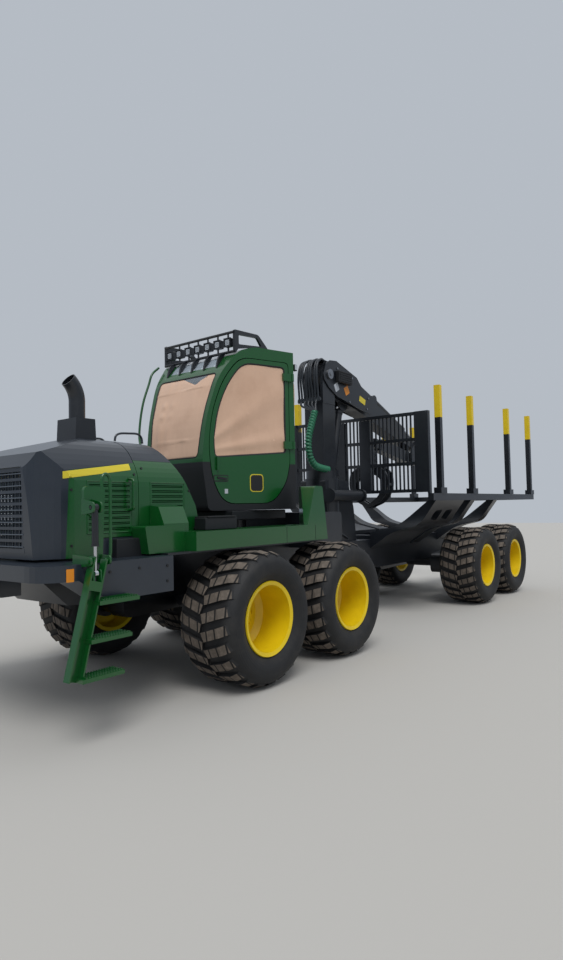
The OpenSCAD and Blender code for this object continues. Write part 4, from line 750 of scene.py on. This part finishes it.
def makeCab():
    # the roof glass takes a pale colour: painted reflection of the sky
    setFinish(nodes["cab_glazing"], "glass", "roofGlassPaintedSky")
    for face in nodes["cab_glazing"].data.polygons:
        spot = face.center
        rear = at(cabTrim["roofGlassRear"], 0, cabTrim["roofGlassPaintedSky"])
        above = spot.z > rear.z and spot.x > rear.x and abs(spot.y) < cabTrim["roofGlassHalf"] * mm
        face.material_index = 1 if above else 0
    pitch = cabTrim["filmPitch"]
    layFilm("film_front", "cab_glazing", (1, 0, 0.2), [((300, 0, 0), (1, 0, 0)), ((0, 0, 3248), (0, 0, -1))],
            "front_body", pitch, frontFolds, cabTrim["tear"])
    layFilm("film_right", "cab_glazing", (0.25, -1, 0),
            [((0, -478, 0), (0, -1, 0)), ((-500, 0, 0), (1, 0, 0))], "front_body", pitch * 2, sideFolds)
    layFilm("film_door", "door_glazing", (0.25, 1, 0), [], "door_body", pitch, doorFolds)
    for name, side in (("left", 1), ("right", -1)):
        layFilm(f"film_corner_{name}", "cab_glazing", (-0.7, side, 0),
                [((0, side * 600, 0), (0, side, 0)), ((-500, 0, 0), (-1, 0, 0))],
                "front_body", pitch * 2, sideFolds)
    skinPatch("pillar_trim", "cab_shell", [((380, 0, 0), (1, 0, 0.2)), ((0, -382, 0), (0.06, -1, -0.1)),
                                           ((0, 0, 2300), (0, 0, 1)), ((0, 0, 3230), (0, 0, -1))],
              (1, -0.2, 0), 2.0, "front_body", "seal")
    radius = cabTrim["sealRadius"] * mm
    front = outlineOf("cab_glazing", (1, 0, 0.2), (280, -600, 2200), (700, 600, 3300))
    addSeal("seal_front", front, radius, "front_body", "seal")
    door = outlineOf("door_glazing", (0.25, 1, 0))
    addSeal("seal_door", door, radius * cabTrim["doorSeal"], "door_body", "seal")
    rear = outlineOf("cab_glazing", (-1, 0, 0), (-900, -500, 2300), (-820, 500, 3400))
    addSeal("seal_rear", rear, radius, "front_body", "seal")


makeCab()
print("cab windows dressed")


# Hood and cowl: the dark cap, blank yellow band, grille, louvre panels, bolts, rails and painted shade for
# the cowl's vents
hoodTrim = {
    "capLow": 2172, "capLift": 1.5, "bandLift": 2.0,
    "band": ((2605, 1988), (1925, 2080), (1925, 2137), (2605, 2046)),
    "bars": 7, "barLow": 1445, "barPitch": 98, "barTall": 9, "barOut": (-6, 7), "barHalf": 625,
    "wires": 46, "wire": 3, "wireOut": (-12, -6), "wireSpan": (1410, 2080),
    "louvres": 9, "louvreLow": 1570, "louvrePitch": 46, "wallAbove": 22, "slat": 5, "slatBehind": 7,
    "frame": 6, "frameSide": 18, "frameSpan": (1540, 1972),
    "bolt": (22, 7, 12), "vents": 5, "ventRear": 1215, "ventPitch": 62, "ventRows": (-330, 0, 330),
    "ventSize": (250, 26, 5), "ventRound": 8, "ventLift": 1.4,
}
# louvre panels: the solid, its body, and the slots' rear and front ends
louvrePanels = {
    "hood": ("hood_sides", "hood_body", 1960, 2380),
    "cowl": ("cowl", "front_body", 1330, 1710),
}
# bars in mirrored pairs: body, finish, radius and the left bar's path
pairedBars = {
    "cowl_rails": ("front_body", "dark", 0.011, ((1655, 300, 2405), (1640, 300, 2455), (1590, 300, 2482),
                                                 (1480, 300, 2492), (1375, 300, 2494), (1325, 300, 2462),
                                                 (1312, 300, 2400))),
    "hood_grabs": ("hood_body", "green", 0.012, ((1965, 892, 1725), (1965, 955, 1742), (1965, 958, 1800),
                                                 (1965, 958, 1930), (1965, 955, 1985), (1965, 892, 2000))),
}


def makeHood():
    skinPatch("cowl_cap", "cowl", [((0, 0, hoodTrim["capLow"]), (0, 0, 1))], None, hoodTrim["capLift"],
              "front_body", "dark")
    (x1, z1), (x2, z2), (x3, z3), (x4, z4) = hoodTrim["band"]
    low = Vector((z2 - z1, 0, x1 - x2))
    high = Vector((z4 - z3, 0, x3 - x4))
    cuts = [((x1, 0, z1), low), ((x4, 0, z4), high), ((x1, 0, 0), (-1, 0, 0)), ((x2, 0, 0), (1, 0, 0))]
    for name, side in (("left", 1), ("right", -1)):
        for node in ("hood_sides", "hood"):
            skinPatch(f"band_{node}_{name}", node, cuts, (0, side, 0.3), hoodTrim["bandLift"], "hood_body",
                      "lemon")
    front = (highOf("grille").x - frontX) / mm
    half = hoodTrim["barHalf"]
    # the bars and the wires are a lighter grey than the grille: painted highlight where they catch the light
    bars = bmesh.new()
    behind, ahead = hoodTrim["barOut"]
    for k in range(hoodTrim["bars"]):
        z = hoodTrim["barLow"] + k * hoodTrim["barPitch"]
        addBox(bars, (front + behind, -half, z), (front + ahead, half, z + hoodTrim["barTall"]), 1.5)
    fromMesh("grille_bars", bars, "hood_body", "bar")
    wires = bmesh.new()
    behind, ahead = hoodTrim["wireOut"]
    low, high = hoodTrim["wireSpan"]
    for k in range(hoodTrim["wires"]):
        y = -half + 2 * half * (k + 0.5) / hoodTrim["wires"]
        reach = hoodTrim["wire"] / 2
        addBox(wires, (front + behind, y - reach, low), (front + ahead, y + reach, high))
    fromMesh("grille_wires", wires, "hood_body", "bar")


# A raised edge round each louvre panel, and a thin slat halfway up each slot
def makeLouvres():
    low, high = hoodTrim["frameSpan"]
    for panel, (node, body, rear, front) in louvrePanels.items():
        surface = surfaceOf(node)
        ends = (rear - hoodTrim["frameSide"], front + hoodTrim["frameSide"])
        for name, way in (("left", 1), ("right", -1)):
            louvres = bmesh.new()
            corners = [onWall(surface, x, z, way)[0] for x, z in (
                (ends[0], low), (ends[1], low), (ends[1], high), (ends[0], high))]
            for k in range(4):
                if corners[k] and corners[k - 1]:
                    addRod(louvres, corners[k], corners[k - 1], hoodTrim["frame"] * mm, 8)
            for row in range(hoodTrim["louvres"]):
                z = hoodTrim["louvreLow"] + row * hoodTrim["louvrePitch"]
                wall = [onWall(surface, x, z + hoodTrim["wallAbove"], way)[0]
                        for x in (rear, (rear + front) / 2, front)]
                if None in wall:
                    continue
                for spot in wall:
                    spot.z = at(0, 0, z).z
                    spot.y -= way * hoodTrim["slatBehind"] * mm
                for start, end in zip(wall, wall[1:]):
                    addRod(louvres, start, end, hoodTrim["slat"] * mm, 6)
            fromMesh(f"louvres_{panel}_{name}", louvres, body, "green")


def makeHoodTrim():
    boltWall("hood_bolts", "hood_sides", "hood_body",
             ((2540, 1450), (2540, 1900), (1925, 1450), (1900, 2040), (2300, 1440)), *hoodTrim["bolt"])
    boltWall("cowl_bolts", "cowl", "front_body",
             ((1800, 1520), (1800, 2100), (1180, 1540), (1250, 1900), (1600, 1520)), *hoodTrim["bolt"])
    for name, (body, finish, radius, path) in pairedBars.items():
        bars = bmesh.new()
        for way in (1, -1):
            addTube(bars, [at(x, way * y, z) for x, y, z in path], radius, 10, 6)
        fromMesh(name, bars, body, finish)
    # dark tiles across the cowl's cap: painted shade for the openings of its louvres
    top = surfaceOf("cowl")
    vents = bmesh.new()
    for k in range(hoodTrim["vents"]):
        x = hoodTrim["ventRear"] + k * hoodTrim["ventPitch"]
        for y in hoodTrim["ventRows"]:
            place, facing = top.ray_cast(at(x, y, 3000), Vector((0, 0, -1)))[:2]
            if place:
                addTile(vents, place + facing * hoodTrim["ventLift"] * mm, facing, *hoodTrim["ventSize"], 0,
                        hoodTrim["ventRound"])
    fromMesh("cowl_vent_slot_shade", vents, "front_body", "seal")


makeHood()
makeLouvres()
makeHoodTrim()
print("hood dressed")


# Door: framed catch with its lever, blank badge and small label
doorTrim = {
    "catch": (395, 2060), "catchSize": (190, 74), "dishIn": 22, "lever": (385, 2060), "leverSize": (120, 24),
    "leverTurn": -8, "badge": (-60, 2010), "badgeSize": (185, 205), "badgeIn": 22,
    "label": (330, 1915), "labelSize": (42, 52),
}


def addPlaque(name, finish, spot, size, thick, rounding, turn=0):
    # a flat piece on the door's outer face
    mesh = bmesh.new()
    place, facing = onWall(surfaceOf("cab_door"), *spot, 1)
    addTile(mesh, place, facing, *size, thick, turn, rounding)
    fromMesh(name, mesh, "door_body", finish)


def makeDoor():
    catch, badge = doorTrim["catch"], doorTrim["badge"]
    dish = [value - doorTrim["dishIn"] for value in doorTrim["catchSize"]]
    inner = [value - doorTrim["badgeIn"] for value in doorTrim["badgeSize"]]
    addPlaque("door_catch_frame", "seal", catch, doorTrim["catchSize"], 3, 14)
    addPlaque("door_catch_dish", "green", catch, dish, 4, 10)
    addPlaque("door_catch_lever", "seal", doorTrim["lever"], doorTrim["leverSize"], 15, 6,
              doorTrim["leverTurn"])
    addPlaque("door_badge_edge", "lemon", badge, doorTrim["badgeSize"], 2, 42)
    addPlaque("door_badge", "seal", badge, inner, 4, 34)
    addPlaque("door_label", "pale", doorTrim["label"], doorTrim["labelSize"], 2, 3)


# Lamps on the guard: a rim, a bright pane and three ribs each, and a small lamp at the cab's rear corner
lampTrim = {"count": 7, "span": 970, "height": 3632, "face": 206, "pane": 62, "rim": 80, "ribs": (-16, 0, 16)}


def makeLamps():
    panes = bmesh.new()
    rims = bmesh.new()
    for k in range(lampTrim["count"]):
        y = (k / (lampTrim["count"] - 1) - 0.5) * lampTrim["span"]
        place = at(lampTrim["face"], y, lampTrim["height"])
        ahead = Vector((1, 0, 0))
        addTile(rims, place - ahead * 4 * mm, ahead, lampTrim["rim"], lampTrim["rim"], 5, 0, 16)
        addTile(panes, place + ahead * mm, ahead, lampTrim["pane"], lampTrim["pane"], 3, 0, 12)
        for z in lampTrim["ribs"]:
            addTile(rims, place + ahead * 4 * mm + Vector((0, 0, z * mm)), ahead, 58, 2.5, 2)
    fromMesh("lamp_panes", panes, "front_body", "lens")
    fromMesh("lamp_rims", rims, "front_body", "seal")
    corner = bmesh.new()
    addBox(corner, (-700, 770, 3395), (-640, 822, 3475), 10)
    addRod(corner, at(-668, 740, 3435), at(-668, 790, 3435), 0.012, 10)
    fromMesh("corner_lamp", corner, "front_body", "seal")
    pane = bmesh.new()
    addTile(pane, at(-670, 822, 3435), (0, 1, 0), 46, 64, 3, 0, 8)
    fromMesh("corner_lamp_pane", pane, "front_body", "lens")


# Rails: the long curved bar before the cab's right side, and the hoop on the ladder's post
railPaths = {
    "cab_rail": (0.014, ((250, -640, 3500), (360, -640, 3400), (415, -640, 3260), (500, -640, 3040),
                         (555, -635, 2810), (585, -620, 2590), (600, -560, 2420))),
    "post_hoop": (0.013, ((2500, 1233, 1800), (2500, 1233, 1940), (2490, 1233, 1992), (2460, 1233, 2012),
                          (2430, 1233, 1990), (2420, 1233, 1930), (2420, 1233, 1700), (2420, 1233, 1420),
                          (2440, 1233, 1330))),
}


def makeRails():
    for name, (radius, path) in railPaths.items():
        bar = bmesh.new()
        addTube(bar, [at(*place) for place in path], radius, 12, 8)
        fromMesh(name, bar, "front_body", "green")


# Ladder: raised grip teeth along both edges of every tread
treadTrim = {"rows": ((1060, 2275, 2640), (790, 2350, 2715), (521, 2425, 2785)), "tooth": 12, "pitch": 24,
             "edges": (1268, 1290, 1328, 1366, 1386), "thick": 7}


def makeTreads():
    teeth = bmesh.new()
    pitch = treadTrim["pitch"]
    half = treadTrim["thick"] / 2
    for top, rear, front in treadTrim["rows"]:
        x = rear + 6
        while x + pitch < front:
            for y in treadTrim["edges"]:
                outline = [(x, top - 2), (x + pitch * 0.75, top - 2),
                           (x + pitch * 0.55, top + treadTrim["tooth"]),
                           (x + pitch * 0.2, top + treadTrim["tooth"])]
                addPlate(teeth, outline, 1, y - half, y + half)
            x += pitch
    fromMesh("ladder_teeth", teeth, "ladder_body", "green")


# Yellow tops of the stakes
stakeTrim = {"low": 3075, "lift": 1.5}


def makeStakes():
    skinPatch("stake_tops", "stakes", [((0, 0, stakeTrim["low"]), (0, 0, 1))], None, stakeTrim["lift"],
              "rear_body", "yellow")


# Deck: blocks given by name and boxes, each box with its corners and rounding; all take the plastic finish
deckBlocks = {
    "deck_box": (((790, 955, 1521), (1235, 1110, 1640), 8), ((810, 940, 1640), (1215, 1120, 1652), 3)),
    "sill_box": (((1870, 892, 1312), (2178, 1000, 1486), 8),),
    "cab_mounts": (((-640, -640, 1590), (330, 640, 1696), 10),),
}
deckTrim = {"seams": (150, -390), "seamSide": 1250, "seamHeight": 1432, "seamSize": (5, 170, 1.5),
            "label": (2790, 1255), "labelSize": (62, 96, 2), "labelRound": 4, "bolt": (24, 7, 6)}


def makeDeck():
    for name, boxes in deckBlocks.items():
        block = bmesh.new()
        for low, high, rounding in boxes:
            addBox(block, low, high, rounding)
        fromMesh(name, block, "front_body", "plastic")
    seams = bmesh.new()
    for way in (1, -1):
        for x in deckTrim["seams"]:
            place = at(x, way * deckTrim["seamSide"], deckTrim["seamHeight"])
            addTile(seams, place, (0, way, 0), *deckTrim["seamSize"])
    fromMesh("deck_seams", seams, "front_body", "seal")
    label = bmesh.new()
    place, facing = onWall(surfaceOf("bumper"), *deckTrim["label"], 1)
    addTile(label, place, facing, *deckTrim["labelSize"], 0, deckTrim["labelRound"])
    fromMesh("bumper_label", label, "front_body", "orange")
    boltWall("bumper_bolts", "bumper", "front_body",
             ((2440, 1250), (2440, 1060), (1850, 1250), (1850, 1120), (2150, 1255)), *deckTrim["bolt"])


# Hoses that cross the steering joint and the roll bearing behind it, clamped on the joint between them
hoseTrim = {"count": 7, "radius": 0.014, "half": 210, "sag": 30, "clampOver": 30}


def makeJointHoses():
    ahead = bmesh.new()
    behind = bmesh.new()
    for k in range(hoseTrim["count"]):
        y = -hoseTrim["half"] + 2 * hoseTrim["half"] * k / (hoseTrim["count"] - 1)
        sag = hoseTrim["sag"] * (k % 3)
        addTube(ahead, [at(-1480, y * 1.25, 1330), at(-1640, y * 1.2, 1372 - sag * 0.4),
                        at(-1860, y * 1.1, 1345 - sag), at(-2060, y, 1300 - sag * 0.4),
                        at(-2150, y, 1262)], hoseTrim["radius"], 8, 6)
        addTube(behind, [at(-2150, y, 1262), at(-2270, y, 1300 - sag * 0.3),
                         at(-2420, y * 1.05, 1330 - sag * 0.6), at(-2600, y * 1.1, 1290),
                         at(-2740, y * 1.1, 1228)], hoseTrim["radius"], 8, 6)
    for name, mesh, first, second, start, end in (
            ("joint_hoses_front", ahead, "front_body", "joint_body", -1600, -2060),
            ("joint_hoses_rear", behind, "joint_body", "rear_body", -2200, -2560)):
        hoses = looseMesh(name, mesh, "hose")
        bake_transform(hoses)
    clamp = bmesh.new()
    half = hoseTrim["half"] + hoseTrim["clampOver"]
    addBox(clamp, (-2185, -half, 1208), (-2115, half, 1244), 6)
    fromMesh("joint_clamp", clamp, "joint_body", "black")


makeJointHoses()
makeDoor()
makeLamps()
makeRails()
makeTreads()
makeStakes()
makeDeck()
print("small pieces made")


# Stage, light and camera
studio = {
    "floor": "#b9b6b0", "floorSize": 90.0, "zenith": "#eef2f8", "horizon": "#8e9aab", "backdrop": "#c3cad3",
    "skyStrength": 0.85, "sunEnergy": 1.5, "sunAngle": 30.0, "sunTurn": (32.0, 6.0, 128.0),
}


def makeStage():
    bpy.ops.mesh.primitive_plane_add(size=studio["floorSize"], location=(0, 0, -0.002))
    floor = bpy.context.object
    floor.name = "studio_floor"
    concrete = newMaterial("floor_painted_concrete", {"colour": studio["floor"], "roughness": 0.9})[0]
    floor.data.materials.append(concrete)
    world = bpy.data.worlds.new("studio_sky")
    bpy.context.scene.world = world
    world.use_nodes = True
    tree = world.node_tree
    sky = tree.nodes["Background"]
    # overcast: bright overhead and duller towards the horizon; the camera itself sees a plain backdrop
    where = addNode(tree, "ShaderNodeTexCoord")
    split = addNode(tree, "ShaderNodeSeparateXYZ", {}, {"Vector": where.outputs["Generated"]})
    rise = addNode(tree, "ShaderNodeMapRange", {"From Min": 0.0, "From Max": 0.8},
                   {"Value": split.outputs["Z"]})
    cloud = mixColours(tree, rise.outputs["Result"], studio["horizon"], studio["zenith"])
    rays = addNode(tree, "ShaderNodeLightPath")
    seen = mixColours(tree, rays.outputs["Is Camera Ray"], cloud, studio["backdrop"])
    tree.links.new(seen, sky.inputs["Color"])
    sky.inputs["Strength"].default_value = studio["skyStrength"]
    sun = bpy.data.lights.new("overcast_sun", "SUN")
    sun.energy = studio["sunEnergy"]
    sun.angle = math.radians(studio["sunAngle"])
    lamp = bpy.data.objects.new("overcast_sun", sun)
    lamp.rotation_euler = [math.radians(a) for a in studio["sunTurn"]]
    bpy.context.scene.collection.objects.link(lamp)


# The camera stands where the photograph was taken, at eye height in front of the machine's left side
shot = {"place": (5474, 5271, 1729), "lens": 23.33, "yaw": 0.654, "pitch": 0.043, "roll": -0.02}


def makeCamera():
    camera = bpy.data.cameras.new("photo_camera")
    camera.lens = shot["lens"]
    camera.sensor_width = 36.0
    camera.clip_end = 200.0
    thing = bpy.data.objects.new("photo_camera", camera)
    ahead = Vector((-math.cos(shot["yaw"]) * math.cos(shot["pitch"]),
                    -math.sin(shot["yaw"]) * math.cos(shot["pitch"]), math.sin(shot["pitch"])))
    right = ahead.cross(Vector((0, 0, 1))).normalized()
    up = right.cross(ahead)
    c, s = math.cos(shot["roll"]), math.sin(shot["roll"])
    right, up = c * right + s * up, c * up - s * right
    turn = Matrix((right, up, -ahead)).transposed().to_4x4()
    thing.matrix_world = Matrix.Translation(at(*shot["place"])) @ turn
    bpy.context.scene.collection.objects.link(thing)
    bpy.context.scene.camera = thing


makeStage()
makeCamera()
bpy.context.scene.view_settings.view_transform = "Standard"
print("stage, light and camera set")
